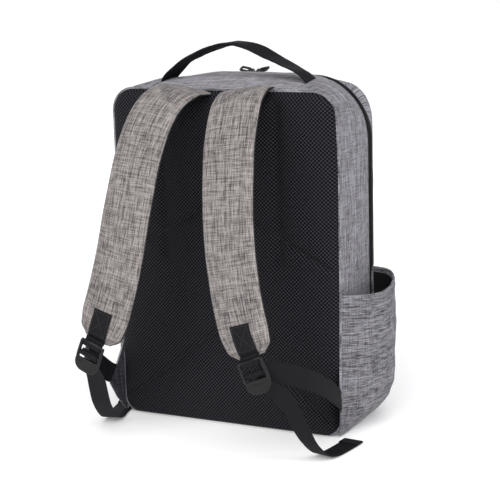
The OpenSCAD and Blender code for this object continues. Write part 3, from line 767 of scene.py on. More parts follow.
def build_back():
    """Crowned air-mesh pad with its sewn channels, their stitches, and the piping round it."""
    nx, nz = BACK_NX, BACK_NZ
    xi = np.linspace(-1, 1, nx)
    xi = np.sign(xi) * (1 - (1 - np.abs(xi)) ** 1.12)
    zi = np.linspace(0, 1, nz)
    zi = 0.5 - 0.5 * np.sign(0.5 - zi) * (1 - (1 - np.abs(1 - 2 * zi)) ** 1.1)
    z = 0.15 + zi * (BACK_H - 0.3)
    hw = np.full(nz, HALF_W)
    for r, dz in ((FOOT_R, FOOT_R - z), (BACK_R, z - (BACK_H - BACK_R))):
        part = dz > 0
        hw[part] = HALF_W - r + np.sqrt(np.maximum(r**2 - dz[part] ** 2, 0))
    x = hw[:, None] * xi[None]
    zz = np.repeat(z[:, None], nx, 1)
    h = pad_height(x, zz)
    p = np.stack([x, BACK_Y - h, zz], -1)
    p[..., 1] += 0.35 * waves(p * arr(1, 0, 1), 48, 31) * smoothstep(0, 20, h * 2)
    hold = (edge_distance(x, zz) < 3) | np.any([line_distance(x, zz, c[0]) < 2.5 for c in CHANNELS], 0)
    some = (slice(None, None, BACK_COARSE),) * 2
    move = swelled(p[some], hold[some], pressure=3.0, cap=1.6, bending=2.0, tension=25) - p[some]
    p = p + finer(finer(move, nz).swapaxes(0, 1), nx).swapaxes(0, 1)
    ring = rim_of(nz, nx)
    rim = p.reshape(-1, 3)[ring] * (1, 0, 1) + (0, BACK_Y + 0.2, 0)
    base = nz * nx + np.arange(len(ring))
    faces = [*quads(nz, nx), *np.stack([np.roll(ring, -1), ring, base, np.roll(base, -1)], 1), base]
    uv = np.stack([x, zz], -1).reshape(-1, 2)
    uv = np.concatenate([uv, uv[ring]])
    o = make("back_pad", np.concatenate([p.reshape(-1, 3), rim]), faces, [uv[f] for f in faces], M["mesh"],
             60)
    attach(o, "bag", "back_mesh", "back_foam", fill=0.8)
    parts = []
    for line, _, _ in CHANNELS[:2]:
        q = even(np.array([(a, 0, b) for a, b in line], float), 160)
        q = q[edge_distance(q[:, 0], q[:, 2]) > 3]
        q[:, 1] = BACK_Y - pad_height(q[:, 0], q[:, 2]) - 0.2
        parts.append(stitches("s", q, (0, -1, 0), M["thread"], 4.2, 2.7, r=0.34))
    attach(joined("back_stitches", parts), "bag")
    loop = even(whole(half_outline(HALF_W + 1, -0.2, BACK_H + 1, FOOT_R + 0.5, BACK_R + 1)), 420)
    loop[:, 1] = np.maximum(loop[:, 1], 1.45)
    o = tube("back_piping_cord", sweep(at_depth(loop, BACK_Y + 0.6), arr(0, 1, 0), ellipse(10, 1.45, 1.45)),
             M["gusset"])
    attach(o, "bag", "back_piping")


# Main zip: two woven tapes, each with its coil of teeth
COIL_PITCH = 1.45


def zip_path(y, off):
    """Line up the sides and over the top at depth y, standing off the cloth by off."""
    w, z0, z1, rb, rt = station(min(y, FLAP_Y))
    h = half_outline(w + off, z0, z1 + off, rb, rt + off)
    h = h[h[:, 1] >= FLAP_Z]
    return at_depth(even(whole(np.vstack([[h[0, 0], FLAP_Z], h])), 460), y)


def outward(at, t):
    """Directions away from the bag's core, square to the zip's directions t."""
    o = unit((at - np.clip(at, (-70, -1e9, 0), (70, 1e9, 350))) * (1, 0, 1))
    return unit(o - np.sum(o * t, 1, keepdims=True) * t)


def teeth(name, path, size, normal_of=outward, skew=0.35):
    """Coil of a zip: a row of small rounded teeth along a path."""
    s = length_along(path)
    count = int(s[-1] / COIL_PITCH)
    ts = (np.arange(count) + 0.5) * s[-1] / count
    at = read_at(ts, s, path)
    t = unit(read_at(np.minimum(ts + 1, s[-1]), s, path) - at + 1e-9)
    nrm = normal_of(at, t)
    g = np.cross(t, nrm)
    sx, sy, sz = size
    corners = [(a, b, c) for c, f in ((-1, (1, 1)), (1, (0.6, 0.8))) for a, b in
               ((-f[0], -f[1]), (f[0], -f[1]), (f[0], f[1]), (-f[0], f[1]))]
    verts = [at + t * (a * sx / 2 + b * skew * sx) + g * b * sy / 2 + nrm * (c * sz / 2)
             for a, b, c in corners]
    box = np.array([[0, 3, 2, 1], [4, 5, 6, 7], [0, 1, 5, 4], [1, 2, 6, 5], [2, 3, 7, 6], [3, 0, 4, 7]])
    faces = (np.arange(count)[:, None, None] * 8 + box[None]).reshape(-1, 4)
    return make(name, np.stack(verts, 1), faces, None, M["coil"], 30)


def build_zip():
    for word, y0, y1, coil_y, low, high, outer, pull, body, bend in (
            ("body", -3.2, 4.8, 4.15, 1.3, 0.4, 0, 2.8, "bag", {}),
            ("flap", 5.3, FLAP_Y - ZIP_Y + 3, 6.15, 0.4, 1.5, 2, -2.2, "front_flap", FLAP_BEND)):
        p = np.stack([zip_path(ZIP_Y + y, off) for y, off in ((y0, low), ((y0 + y1) / 2, 1.7), (y1, high))])
        # The tape shows less along the sides than at the top corners
        edge = p[outer]
        corner = smoothstep(330, 400, edge[:, 2]) * smoothstep(50, 90, np.abs(edge[:, 0]))
        edge[:, 1] += pull * (1 - corner)
        tape = shell(f"zip_{word}_tape", p, 0.9, grid([0, 2.4, 4.8], length_along(p[1])), M["tape"],
                     (0, p[1, 0, 1], 215))
        coil = teeth(f"zip_{word}_coil", zip_path(ZIP_Y + coil_y, 1.7), (0.95, 2.0, 1.7))
        attach(tape, body, f"zip_tape_{word}", **bend)
        attach(coil, body, **bend)


def turned(degrees, axis):
    return Matrix.Rotation(math.radians(degrees), 4, axis)


def placed(m, points):
    return np.array([list(m @ Vector(p)) for p in points])


def slider_at(kind, word, place, mirror=False, pin_z=4.2):
    """Zip slider with its bridge, and an open loop-shaped pull on the bridge's pin."""
    metal = M["metal"]
    base = place @ Matrix.Scale(-1 if mirror else 1, 4, (1, 0, 0))
    waist = [(-4.4, -2.6), (-1.5, -3.7), (2.2, -4.0), (4.5, -3.4)]
    waist += [(x, -y) for x, y in waist[::-1]]
    arch = [(-3.6, 2.1), (-3.2, pin_z + 0.4), (-1.6, pin_z + 1.4), (1.6, pin_z + 1.4), (3.2, pin_z + 0.4),
            (3.6, 2.1), (2.4, 2.1), (2.1, pin_z - 0.3), (1.2, pin_z + 0.6), (-1.2, pin_z + 0.6),
            (-2.1, pin_z - 0.3), (-2.4, 2.1)]
    parts = [bevelled(waist, 1.0, 2.3, 0.5, metal, base), bevelled(waist, -0.3, 0.4, 0.3, metal, base)]
    parts += [bevelled(arch, y, y + 0.9, 0.2, metal, base @ turned(90, "X"), 2) for y in (-3.3, 2.4)]
    parts.append(rod(*placed(base, [(0, -3, pin_z), (0, 3, pin_z)]), 0.75, metal, side=(1, 0, 0)))
    pull = base @ Matrix.Translation((0, 0, pin_z)) @ turned(-12, "Y")
    outer = spline([(-1.2, 0, 0), (-1.0, 1.5, 0), (1.8, 1.9, 0), (3.0, 3.9, 0), (4.6, 4.2, 0), (12.2, 4.2, 0),
                    (13.8, 3.9, 0), (14, 0, 0)], 48)
    outer = np.vstack([outer, (outer * (1, -1, 1))[::-1][1:]])
    rings = sweep(outer, arr(0, 0, 1), ellipse(10, 1.6, 1.4))
    loop = tube("loop", placed(pull, rings.reshape(-1, 3)).reshape(rings.shape), metal)
    bars = [rod(*placed(pull, [(x, -y, 0), (x, y, 0)]), r, metal, side=(1, 0, 0))
            for x, y, r in ((0, 1.7, 1.3), (4.0, 3.6, 0.7))]
    return joined(f"{kind}_slider{word}", parts), \
        joined(f"{kind}_pull{word}", [loop, *bars])


def build_sliders():
    for side in (-1, 1):
        word = WORD[side]
        place = Matrix.Translation((-12 + side * 4.9, ZIP_Y + 5.25, 430.0)) @ turned(20, "X")
        slider, pull = slider_at("main", f"_{word}", place, side < 0)
        attach(slider, f"slider_{word}", f"zip_slider_{word}")
        attach(pull, f"pull_{word}", f"zip_pull_{word}")
    place = Matrix.Translation((-87, FRONT_Y + 2.6, 345)) @ turned(-90, "X")
    slider, pull = slider_at("pocket", "", place, pin_z=3.2)
    attach(slider, "front_slider", "front_zip_slider")
    attach(pull, "front_pull", "front_zip_pull")


def build_handle():
    """Carry handle: webbing folded narrow along the grip, flat where it is sewn in."""
    crest = [(-101, 421), (-100, 426.9), (-95, 434), (-84, 443.5), (-72, 452), (-50, 462), (-25, 470),
             (-6, 473.2), (2, 472.6), (22, 468), (44, 458.5), (66, 448.5), (84, 441), (94, 434.5),
             (100, 426.9), (101, 421)]
    path = spline([(x, -28, z) for x, z in crest], 150)
    x = path[:, 0]
    grip = smoothstep(58, 95, -x) + smoothstep(4, 80, x)
    width = 18 + 18 * np.clip(grip, 0, 1)
    thick = 4.4 - 2.6 * np.clip(grip * 1.3, 0, 1)
    turn = 0.35 * np.exp(-(((x - 24) / 26) ** 2)) - 0.22 * np.exp(-(((x + 46) / 30) ** 2))
    across = np.stack([0 * x, np.cos(turn), np.sin(turn)], 1)
    path[:, 1] += 2.0 * np.exp(-((x / 60) ** 2))
    rings = sweep(path, across, flat_section(width, thick, 0.4, 10))
    rings += (0.35 * waves(rings, 26, 41))[..., None] * arr(0, 0.3, 1)
    attach(tube("handle_webbing", rings, M["web"]), "handle", "carry_handle", "handle_ends",
           start=(0, -0.028, 0.428), end=(0, -0.028, 0.447))


# Shoulder straps
STRAP = [(39.6, -79.6, 420.7), (41.5, -92, 421.6), (45, -107, 421), (50, -134, 411), (55, -156, 390),
         (58.5, -172, 364), (62, -182.5, 336), (65, -191, 307), (68.5, -198, 278), (72.5, -203, 248),
         (78, -207, 218), (84.5, -211, 189), (93, -214, 160), (103.6, -214.7, 132)]
STRAP_W, STRAP_T, STRAP_COLS = 64, 12.0, 30


def strap_frame():
    """Middle line of the right strap, directions across and out of it, lengths, widths, thicknesses:
    thin at its seam, cut in at its end."""
    path = spline(STRAP, 150)
    s = length_along(path)
    keys = np.array([[0.98, 0.12, 0.15], [0.99, 0.04, 0.1], [0.92, 0.01, 0.39]])
    across = read_at(s / s[-1], [0, 0.5, 1], keys)
    left = s[-1] - s
    width = STRAP_W - 9 * smoothstep(34, 0, left) - 22 * smoothstep(13, -2, left) ** 1.4
    thick = STRAP_T * np.clip(0.42 + s / 70, 0, 1) * (1 - 0.45 * smoothstep(12, 0, left))
    return path, across, frames_of(path, across)[2], s, width, thick


def pillow(width, thick, face, flat, seam, power):
    """Half pillow sections: a crowned face and a flat one that meet in thin seams at both edges, all
    three given as shares of the thickness."""
    x = np.linspace(-1, 1, STRAP_COLS)
    x = np.sign(x) * (1 - (1 - np.abs(x)) ** 1.5)
    crown = seam + (face - seam) * (1 - np.abs(x) ** power) ** 0.5
    share = np.concatenate([crown, np.full(STRAP_COLS - 2, flat)])
    across = np.concatenate([x / 2, x[::-1][1:-1] / 2 * 0.995])
    return np.stack([width[:, None] * across, thick[:, None] * share], -1)


def build_strap(side):
    word = WORD[side]
    path, across, out, s, width, thick = strap_frame()
    cover = sweep(path, across, pillow(width, thick, -0.5, 0.12, 0.12, 4.0))
    pad = sweep(path, across, pillow(width - 0.6, thick, 0.5, 0.16, 0.33, 3.2))
    crown = (np.arange(cover.shape[1]) < STRAP_COLS)[None, :, None]
    cover = cover - out[:, None] * (0.28 * waves(cover * arr(1, 0.6, 0.6), 46, 51 + side))[..., None] * crown
    for name, rings, mat, slot, nodes in (
            ("top", cover, M["strap"], "grey_cloth", [f"strap_cover_{word}"]),
            ("under", pad, M["mesh"], "air_mesh", [f"strap_mesh_{word}", f"strap_foam_{word}"])):
        o = tube(f"strap_{name}_{word}", sided(rings, side), mat, lengths=s)
        hold = np.zeros(rings.shape[:2])
        hold[:3] = hold[-2:] = 1
        hold[:, [0, 1, STRAP_COLS - 2, STRAP_COLS - 1]] = 1
        hold[:, STRAP_COLS:] = 1
        simulate(o, hold, pressure=3.0, cap=1.5, tension=20, bending=1.0)
        attach(o, f"strap_{word}", *nodes, fill=0.85)
    edges = [path + frames_of(path, across)[1] * (k * width / 2)[:, None] + out * (0.14 * thick)[:, None]
             for k in (-1, 1)]
    parts = [tube("e", sweep(sided(p, side), sided(across, side), ellipse(8, 0.9, 0.8)), M["elastic"])
             for p in edges]
    attach(joined(f"strap_binding_{word}", parts), f"strap_{word}")


# Ladder locks, in their own frame: X along the bars, Z up from the top bar
LOCK, LEAN, BAR_GAP, BAR_R = (106, -223, 126), 22.4, 13.0, 1.8
WEB_W, WEB_T, WRAP_R = 25.0, 1.5, 2.9


def lock_matrix(side):
    m = Matrix.Translation(LOCK) @ turned(-LEAN, "Y")
    return m if side > 0 else Matrix.Scale(-1, 4, (1, 0, 0)) @ m


def in_lock(points, side):
    return placed(lock_matrix(side), points)


def lock_axis(side):
    return (in_lock([(1, 0, 0)], side) - in_lock([(0, 0, 0)], side))[0]


def build_lock(side):
    word, plastic = WORD[side], M["plastic"]
    rail_x = WEB_W / 2 + 2.4
    c = ellipse(20, 1, 1)
    rounded = np.sign(c) * np.abs(c) ** (2 / 2.6)
    size = np.interp(np.linspace(0, 1, 26), [0, 0.08, 0.9, 1], [0.75, 1, 1, 0.7])[:, None, None]
    parts = []
    for k in (-1, 1):
        x = k * rail_x
        rail = [(x - k * 0.6, 0.2, 3.4), (x, -0.6, 1.5), (x, -0.9, -4), (x + k * 0.3, -0.3, -13),
                (x, 0.2, -21), (x - k * 0.8, 0.4, -25.5)]
        path = in_lock(spline(rail, 26), side)
        parts.append(tube("rail", sweep(path, lock_axis(side), rounded * size * arr(1.95, 2.1)), plastic))
    half, r = rail_x + 1.4, 12.0
    for x, y, z, radius, kw in ((rail_x, 0, 0, BAR_R, {}), (rail_x, 0, -BAR_GAP, BAR_R, {}),
                                (rail_x, -1.6, 3.2, 1.15, dict(side=(0, 0, 1), squash=1.3))):
        parts.append(rod(*in_lock([(-x, y, z), (x, y, z)], side), radius, plastic, **kw))
    ang = np.linspace(0, math.pi / 2, 12)
    lip = [(-half, 4.6), (-half, 0)]
    lip += [(-half + r - r * math.cos(t), -r * math.sin(t) * 0.98) for t in ang[1:]]
    lip += [(half - r + r * math.sin(t), -r * math.cos(t) * 0.98) for t in ang[:-1]]
    lip += [(half, 0), (half, 4.6)]
    upright = lock_matrix(side) @ Matrix.Translation((0, 0, -24)) @ turned(90, "X")
    parts.append(bevelled(lip, -0.4, 2.2, 0.8, plastic, upright))
    x = half - 2.4
    parts.append(rod(*in_lock([(-x, -2.2, -25), (x, -2.2, -25)], side), 0.5, plastic))
    o = joined(f"lock_{word}_body", parts)
    rework(o.data)
    attach(o, f"lock_{word}", f"ladder_lock_{word}")
    ang = np.radians(np.linspace(-140, 118, 26))
    arc = np.stack([0 * ang, -WRAP_R * np.cos(ang), -BAR_GAP + WRAP_R * np.sin(ang)], 1)
    arc = np.vstack([(0, 3.4, -BAR_GAP - 4.5), arc, (0, 2.6, -BAR_GAP + 4.0)])
    w = strip(f"web_wrap_cloth_{word}", in_lock(spline(arc, 40), side), lock_axis(side), WEB_W - 0.4, WEB_T,
              M["web"])
    attach(w, f"lock_{word}", f"web_wrap_{word}")


def build_tab(side):
    """Webbing tab sewn on the strap's end with a boxed cross, and looped round the lock's top bar."""
    word = WORD[side]
    path, across, out, s, width, thick = strap_frame()
    pick = s > s[-1] - 41
    lay = (path - out * (thick / 2 + 1.0)[:, None])[pick]
    bar = [(0, -WRAP_R * math.cos(a), WRAP_R * math.sin(a))
           for a in np.radians([40, 10, -25, -60, -100, -150, 165, 140])]
    round_bar = in_lock([*bar, (0, 1.4, 5.5), (0, 1.2, 9.5)], 1)
    p = spline(np.vstack([lay[::max(len(lay) // 8, 1)], round_bar]), 90)
    k = smoothstep(0, 0.45, np.linspace(0, 1, 90))[:, None]
    p, acr = sided(p, side), sided(unit(across[pick][0] * (1 - k) + lock_axis(1) * k), side)
    o = strip(f"tab_webbing_{word}", p, acr, WEB_W, 1.7, M["web"])
    attach(o, f"strap_{word}", f"strap_tab_{word}")
    # The seam lies in the tab's own plane: u across it and v along its sewn part, 0 to 1
    _, a, q = frames_of(p, acr)
    lift = q * -side
    sewn = np.count_nonzero(length_along(p) < 33) - 1
    t = np.linspace(0, 1, 30)
    rows = []
    h = WEB_W / 2 - 2.4
    for u0, v0, u1, v1 in ((-h, 0.07, h, 0.07), (h, 0.07, h, 0.95), (h, 0.95, -h, 0.95), (-h, 0.95, -h, 0.07),
                           (-h, 0.07, h, 0.95), (h, 0.07, -h, 0.95)):
        u, v = (u0 + (u1 - u0) * t)[:, None], (v0 + (v1 - v0) * t) * sewn
        at, across_at = (read_at(v, np.arange(len(p)), g) for g in (p + lift, a))
        rows.append(stitches("s", at + across_at * u, lift[5], M["thread"], 2.6, 2.0))
    attach(joined(f"tab_stitches_{word}", rows), f"strap_{word}")


# Adjuster webbing and loose tails: points of the middle line, and directions across it
ADJUSTER = [(158.4, -96, 52.5), (160.5, -106, 58), (159, -132, 76), (152, -165, 95.5), (137, -192, 108),
            (122, -209, 114.5), (113, -217.6, 116)]
ADJ_ACROSS = [(-0.2, 0.38, 0.9), (-0.2, 0.38, 0.9), (-0.2, 0.38, 0.9), (-0.15, 0.35, 0.92), (0, 0.3, 0.95),
              (0.15, 0.2, 0.95), (0.2, 0, 0.95)]
TAILS = {
    1: ([(116.5, -217.4, 103), (124, -209, 94), (133, -201, 84), (141, -192, 67), (148, -184, 44),
         (156, -175, 22), (163, -161, 6.5), (167, -145, 2.0), (169, -128, 1.3), (171, -108, 1.3),
         (172.6, -92, 1.6)],
        [(0.92, 0, 0.39), (0.85, -0.05, 0.53), (0.9, -0.03, 0.4), (0.95, -0.1, 0.28), (0.95, -0.18, 0.2),
         (0.93, -0.3, 0.1), (0.96, -0.23, 0), (1, -0.15, 0), (1, -0.1, 0), (1, -0.1, 0), (1, -0.1, 0)]),
    -1: ([(-116.5, -217.4, 103), (-117.5, -208, 92), (-119.5, -198, 78), (-125, -185, 58),
          (-131, -170, 37), (-137, -150, 18), (-142, -132, 6.5), (-147, -114, 2.0), (-153, -95, 1.3),
          (-160, -68, 1.3), (-164.5, -50, 1.6)],
         [(0.92, 0, -0.39), (0.95, 0.05, -0.2), (0.97, 0.12, -0.12), (0.96, 0.22, -0.15),
          (0.97, 0.23, -0.08), (0.97, 0.23, 0), (0.96, 0.25, 0), (0.96, 0.27, 0), (0.96, 0.27, 0),
          (0.97, 0.25, 0), (0.97, 0.25, 0)]),
}


def build_adjuster(side):
    p, a = (sided(v, side) for v in route(ADJUSTER, ADJ_ACROSS, 90))
    o = strip(f"adjuster_webbing_{WORD[side]}", p, a, WEB_W, WEB_T, M["web"])
    attach(o, f"strap_{WORD[side]}", f"adjuster_{WORD[side]}", start=(side * 0.1596, -0.098, 0.055),
           end=(side * 0.113, -0.2176, 0.113))


def build_tail(side):
    """Loose end of the adjuster webbing, lying on the floor, with its folded and sewn hem."""
    word = WORD[side]
    p, a = route(*TAILS[side], 130)
    rings = sweep(p, a, flat_section(WEB_W, WEB_T, 0.35, 8))
    rings[..., 2] = np.maximum(rings[..., 2], 0.3)
    tail = tube(f"tail_webbing_{word}", rings, M["web"])
    d = unit(p[-1] - p[-4])
    fold = [p[-1] + d * k + arr(0, 0, up)
            for k, up in ((-13, 1.4), (-4, 1.45), (1.2, 1.3), (2.6, 0.4), (1.6, -0.4))]
    hem = strip(f"tail_hem_cloth_{word}", spline(fold, 24), a[-1], WEB_W + 0.3, 1.5, M["web"])
    rows = []
    for k in (4.5, 9.5):
        ends = np.array([p[-1] - d * k + a[-1] * u + arr(0, 0, 2.25) for u in (-11, 11)])
        rows.append(stitches("s", even(ends, 20), (0, 0, 1), M["thread"], 2.2, 1.7, r=0.26))
    for o, nodes in ((tail, [f"tail_{word}"]), (hem, [f"tail_hem_{word}"]),
                     (joined(f"tail_stitches_{word}", rows), [])):
        attach(o, f"strap_{word}", *nodes, start=(side * 0.16, -0.165, 0.01),
               end=(side * 0.1165, -0.2174, 0.103))


def build_wing(side):
    """Corner wing that holds the adjuster: cloth that stands out of the lower corner seam."""
    word = WORD[side]
    foot, turn, rise = arr(150.6, -80.2), math.radians(63.2), 40
    d = arr(math.cos(turn), -math.sin(turn))
    nrm = arr(math.sin(turn), math.cos(turn))
    line = even(np.array([(1.6, 2), (6, 8), (14, 20), (22.5, 37.5), (24, 40), (18, 52.5), (12.4, 65),
                          (2.0, 90)]), 60)
    reach = np.linspace(0, 1, 12)
    g = np.stack([np.stack([1.2 + (line[:, 0] - 1.2) * r, line[:, 1]], 1) for r in reach])
    belly = np.sin(np.pi * reach)[:, None] * np.sin(np.linspace(0, np.pi, 60))[None] + 1.2
    p = np.concatenate([foot + g[..., :1] * d + belly[..., None] * nrm, g[..., 1:]], -1)
    away = sided((*(foot - rise * nrm), rise), side)
    # The faces turned towards the bag's middle get the dark heather copy, which is painted shade
    o = shell(f"wing_cloth_{word}", sided(p, side), 2.4, g, M["gusset"], away,
              inner_shade=M["wing_painted_shade"])
    attach(o, "bag", f"wing_{word}")
    inset = np.array([q - unit(arr(q[0] - 2, (q[1] - 42) * 0.4)) * 2.6 for q in line[6:54]])
    rows = []
    for k in (1, -1):
        row = np.concatenate([foot + inset[:, :1] * d + nrm * k * 1.25, inset[:, 1:]], 1)
        rows.append(stitches("s", sided(row, side), sided((*nrm * k, 0), side), M["thread_grey"], 3.2, 2.2,
                             r=0.25))
    attach(joined(f"wing_stitches_{word}", rows), "bag")


# Side pockets: the mouth's share of depth and of reach, and how full the pocket is at each height
PLAN = [[0, 0.0], [0.03, 0.13], [0.08, 0.31], [0.15, 0.5], [0.28, 0.76], [0.45, 0.93], [0.62, 1], [0.76, 1.0],
        [0.86, 0.94], [0.93, 0.78], [0.975, 0.48], [1, 0.0]]
FILL = np.array([[0, 0.05], [4, 0.16], [10, 0.36], [18, 0.56], [30, 0.78], [46, 0.9], [70, 0.96], [110, 1],
                 [190, 1]])
POCKET_Y0, POCKET_Y1, POCKET_OUT, POCKET_X = -79.0, 53.0, 38.0, 150.2
POCKET_ROWS, POCKET_COLS = 56, 90


def build_pocket(side):
    word = WORD[side]
    m, n = POCKET_ROWS, POCKET_COLS
    py, pr = spline(PLAN, n).T
    rim = 177.5 - 5.0 * np.sin(np.pi * np.clip(py / 0.95, 0, 1)) ** 1.2 + 9.0 * smoothstep(0.86, 1.0, py)
    z = 1.0 + (rim - 1.0) * np.linspace(0, 1, m)[:, None]
    f = np.interp(z, FILL[:, 0], FILL[:, 1])
    pinch = 1 - 0.25 * smoothstep(60, 0, z) * smoothstep(0.75, 1, py)
    y = POCKET_Y0 + (POCKET_Y1 - POCKET_Y0) * py + (1 - f) * (-6) * smoothstep(0.6, 1.0, py)
    p = np.stack([POCKET_X + POCKET_OUT * f * pr * pinch, y, z], -1)
    calm = (np.sin(np.pi * np.linspace(0, 1, n)) ** 0.7)[None]
    p[..., 0] += (1.1 * waves(p * arr(0.4, 0.5, 1), 58, 61 + side)
                  + 0.5 * waves(p * arr(0.3, 0.4, 1), 22, 63 + side)) * calm
    hold = border(m, n)
    hold[-1, 1:-1] = 0.25
    q = swelled(p, hold, pressure=2.0, cap=3.0, bending=0.7, tension=20)
    uv = grid(length_along(p[:, n // 2]), length_along(p[m // 2]))[..., ::-1]
    q = sided(q, side)
    nrm = normals(q, q[m // 2, n // 2] - arr(side, 0, 0))
    cut = int(m * 0.955)
    for name, node, rows, off, thick, mat, slot in (
            ("", "side_pocket", slice(0, cut + 1), 0, 1.5, "pocket", "grey_cloth"),
            ("hem_", "pocket_hem", slice(cut - 1, m), 0.7, 2.6, "pocket", "grey_cloth"),
            ("lining_", "pocket_lining", slice(1, cut + 1), -1.8, 0.6, "pocket_lining", "black_lining")):
        o = shell(f"pocket_{name}cloth_{word}", q[rows] + nrm[rows] * off, thick, uv[rows], M[mat],
                  (side * 140, -10, 90))
        attach(o, "bag", f"{node}_{word}")
    st = stitches(f"pocket_stitches_{word}", (q[cut] + nrm[cut] * 0.9)[2:-2], nrm[cut, n // 2],
                  M["thread_grey"], 3.6, 2.4, r=0.26)
    attach(st, "bag")


def build_lining():
    """Lining of the body: a loop that follows the outline, closed towards the harness side."""
    n = 200
    rows = []
    for y in np.linspace(BACK_Y + 4.5, ZIP_Y - 1, 16):
        w, _, z1, rb, rt = station(y)
        rows.append(loop_at(half_outline(w - 2.8, 3.4, z1 - 2.8, rb - 2.5, rt - 2.8), y, n))
    back = [rows[0] * arr(k, 1, k) + arr(0, 0, 212 * (1 - k)) for k in (0.02, 0.3, 0.6, 0.85)]
    p = np.stack(back + rows)
    m = len(p)
    c = arr(0, 0, 213)
    dent = np.minimum(0.5 * waves(p, 70, 71) - 0.4, 0)
    p = p + unit(p - c) * dent[..., None] * arr(1, 0, 1)
    q = p - normals(p, c, (m // 2, 5), loop=True) * 0.8
    first = np.arange(n)
    ring = first + (m - 1) * n
    nxt = np.roll(ring, -1)
    faces = [*quads(m, n, loop=True), *quads(m, n, m * n, True, True),
             *np.stack([ring, nxt, nxt + m * n, ring + m * n], 1), first[::-1], first + m * n]
    uv = np.stack([np.broadcast_to(first * 7.0, (m, n)), p[..., 1]], -1).reshape(-1, 2)
    uv = np.concatenate([uv, uv])
    o = make("lining_cloth", np.stack([p, q]), faces, [uv[f] for f in faces], M["lining"], 50)
    attach(o, "bag", "lining_body")


def build_sleeve():
    """Padded sleeve against the back, with a bound top edge."""
    half, top_z, mid_y = 125, 300, -55
    x, z = np.meshgrid(np.linspace(-half, half, 60), np.linspace(9, top_z, 60))
    uv = np.stack([x, z], -1)
    sag = 2.2 * smoothstep(0.4, 1, z / top_z) * np.cos(np.pi * x / (2 * half)) + 0.7 * waves(uv, 90, 72)
    pad = 3.0 * (np.clip(np.minimum(half - np.abs(x), 16) / 16, 0, 1)) ** 0.5
    p = np.stack([x, mid_y + sag * 0.6 + pad, z], -1)
    o = shell("sleeve_pad", p, np.maximum(2 * pad, 0.8), uv, M["lining"], (0, -200, 150))
    attach(o, "bag", "sleeve_panel", fill=0.6)
    top = np.stack([x[-1], mid_y + sag[-1] * 0.6, np.full(60, top_z + 0.6)], 1)
    q = strip("sleeve_binding_tape", top, arr(0, 1, 0), 7.4, 3.2, M["elastic"])
    attach(q, "bag", "sleeve_binding")


def build_flap_inside():
    """Lining of the flap and its two gathered bottle pockets."""
    inner = (0, 300, 250)
    x = np.linspace(-1, 1, 60)
    rows = []
    for z in np.linspace(FLAP_Z + 1, 399, 40):
        half = 127.5 - (1 - math.cos(min(max(z - 350, 0) / 50, 1) * math.pi / 2)) * 46
        y = FRONT_Y - 3.6 - 14 * np.clip((np.abs(x) - 0.86) / 0.14, 0, 1) ** 2
        rows.append(np.stack([x * half, y - 14 * np.clip((z - 375) / 24, 0, 1) ** 2, np.full(60, z)], 1))
    p = np.stack(rows)
    p[..., 1] += 0.5 * waves(p * arr(1, 0, 1), 80, 81) - 0.5
    o = shell("flap_lining_cloth", p, 0.8, p[..., [0, 2]], M["lining"], inner)
    attach(o, "front_flap", "lining_flap", **FLAP_BEND)
    parts, binds = [], []
    s = np.linspace(0, 1, 60)
    rise = np.linspace(0, 98, 36)
    for side in (-1, 1):
        rows = []
        for up in rise:
            t = up / 98
            belly = 9.2 * np.sin(np.pi * s) ** 0.55 * (0.55 + 0.45 * t)
            pleat = 0.7 * np.cos(s * TURN * 9) * t**2 * np.sin(np.pi * s)
            rows.append(np.stack([side * 59 + (s - 0.5) * 115, FRONT_Y - 4.6 - belly - pleat,
                                  np.full(60, FLAP_Z + 8 + up)], 1))
        q = np.stack(rows)
        uv = grid(FLAP_Z + 8 + rise, s * 120)[..., ::-1]
        parts.append(shell("p", q, 0.8, uv, M["lining"], (side * 59, *inner[1:])))
        binds.append(strip("b", q[-1] + arr(0, 0.4, -4), arr(0, 0, 1), 10, 2.2, M["elastic"]))
    pocket = joined("flap_pocket_cloth", parts)
    elastic = joined("flap_pocket_elastic", binds)
    attach(pocket, "front_flap", "inner_pocket")
    attach(elastic, "front_flap", "inner_pocket_elastic")


def build_pocket_zip():
    """Zip of the front pocket: two tapes and a straight coil."""
    y, z = FRONT_Y + 3.4, 345
    tapes, coils = [], []
    for s in (-1, 1):
        path = np.stack([np.linspace(-95, 95, 80), np.full(80, y), np.full(80, z + s * 3.3)], 1)
        tapes.append(strip("t", path, arr(0, 0, 1), 4.6, 0.9, M["tape"]))
        path = np.stack([np.linspace(-93, 93, 80), np.full(80, y + 0.3), np.full(80, z + s * 0.75)], 1)
        coils.append(teeth("c", path, (0.95, 1.6, 1.3), lambda at, t: 0 * at + arr(0, 1, 0)))
    tape, coil = joined("pocket_zip_tape", tapes), joined("pocket_zip_coil", coils)
    attach(tape, "front_flap", "front_zip_tape")
    attach(coil, "front_flap")


# ---------------------------------------------------------------- build

build_back()
for side in (1, -1):
    for build in (build_gusset, build_strap, build_lock, build_tab, build_adjuster, build_tail, build_wing,
                  build_pocket):
        build(side)
for build in (build_yoke, build_base, build_front, build_zip, build_sliders, build_handle, build_lining,
              build_sleeve, build_flap_inside, build_pocket_zip):
    build()

for name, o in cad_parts.items():
    if not o.hide_render:
        o.data.materials.clear()
        o.data.materials.append(M["foam" if name == "base_board" else "board"])

# ---------------------------------------------------------------- camera, light, floor


def look_from(azimuth, elevation, roll, distance, target):
    a, e, r = map(math.radians, (azimuth, elevation, roll))
    back = Vector((math.sin(a) * math.cos(e), -math.cos(a) * math.cos(e), math.sin(e)))
    x = Vector((0, 0, 1)).cross(back).normalized()
    y = back.cross(x)
    xr = x * math.cos(r) + y * math.sin(r)
    yr = -x * math.sin(r) + y * math.cos(r)
    m = Matrix((xr, yr, back)).transposed().to_4x4()
    m.translation = Vector(target) + back * distance
    return m


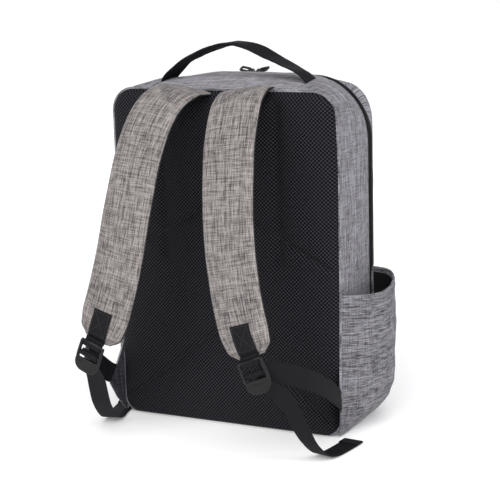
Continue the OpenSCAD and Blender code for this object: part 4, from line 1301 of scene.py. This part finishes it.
cam_data = bpy.data.cameras.new("camera")
cam_data.sensor_width = 36
cam_data.lens = 108
cam_data.dof.use_dof = False
cam = link("camera", cam_data)
cam.matrix_world = look_from(26.94, 11.40, -1.49, 1.838, (0.0361, -0.080, 0.2255))
scene.camera = cam


def lamp(name, kind, direction, power, colour=(1, 1, 1)):
    d = bpy.data.lights.new(name, kind)
    d.energy = power
    d.color = colour
    o = link(name, d)
    o.rotation_euler = Vector(direction).to_track_quat("-Z", "Y").to_euler()
    return o


for name, location, size, power, colour in (
        ("key", (-0.5, -2.1, 1.3), (1.1, 1.1), 17, (1, 0.985, 0.965)),
        ("side", (2.0, -0.3, 0.9), (1.0, 1.3), 9, (0.96, 0.98, 1)),
        ("front", (-1.5, 2.4, 1.5), (1.0, 1.0), 11, (1, 1, 1))):
    softbox = lamp(name, "AREA", Vector((0, 0, 0.22)) - Vector(location), power, colour)
    softbox.location = location
    softbox.data.shape = "RECTANGLE"
    softbox.data.size, softbox.data.size_y = size
lamp("sky", "SUN", (-0.45, 0.8, -1.1), 2.3).data.angle = math.radians(60)

# White by the horizon and grey overhead
world = bpy.data.worlds.new("world")
scene.world = world
world.use_nodes = True
wt = world.node_tree
height = wt.nodes.new("ShaderNodeSeparateXYZ")
wt.links.new(wt.nodes.new("ShaderNodeTexCoord").outputs["Generated"], height.inputs[0])
sky = wt.nodes.new("ShaderNodeValToRGB")
for e, pos, shade in zip(sky.color_ramp.elements, (0.12, 0.32), ((1.04, 1.04, 1.04), (0.36, 0.36, 0.37))):
    e.position, e.color = pos, (*shade, 1)
wt.links.new(height.outputs["Z"], sky.inputs["Fac"])
wt.links.new(sky.outputs[0], wt.nodes["Background"].inputs["Color"])
wt.nodes["Background"].inputs["Strength"].default_value = 1.0

paper = Look("floor", use_uv=False)
paper.wire(paper.shader, {"Base Color": (0.93, 0.93, 0.93, 1), "Emission Color": (1, 1, 1, 1),
                          "Emission Strength": 0.14, "Roughness": 0.9, "Specular IOR Level": 0.1})
bpy.ops.mesh.primitive_plane_add(size=60, location=(0, 0, -0.0004))
floor = bpy.context.object
floor.name = "floor"
floor.data.materials.append(paper.made)
scene.view_settings.view_transform = "Standard"
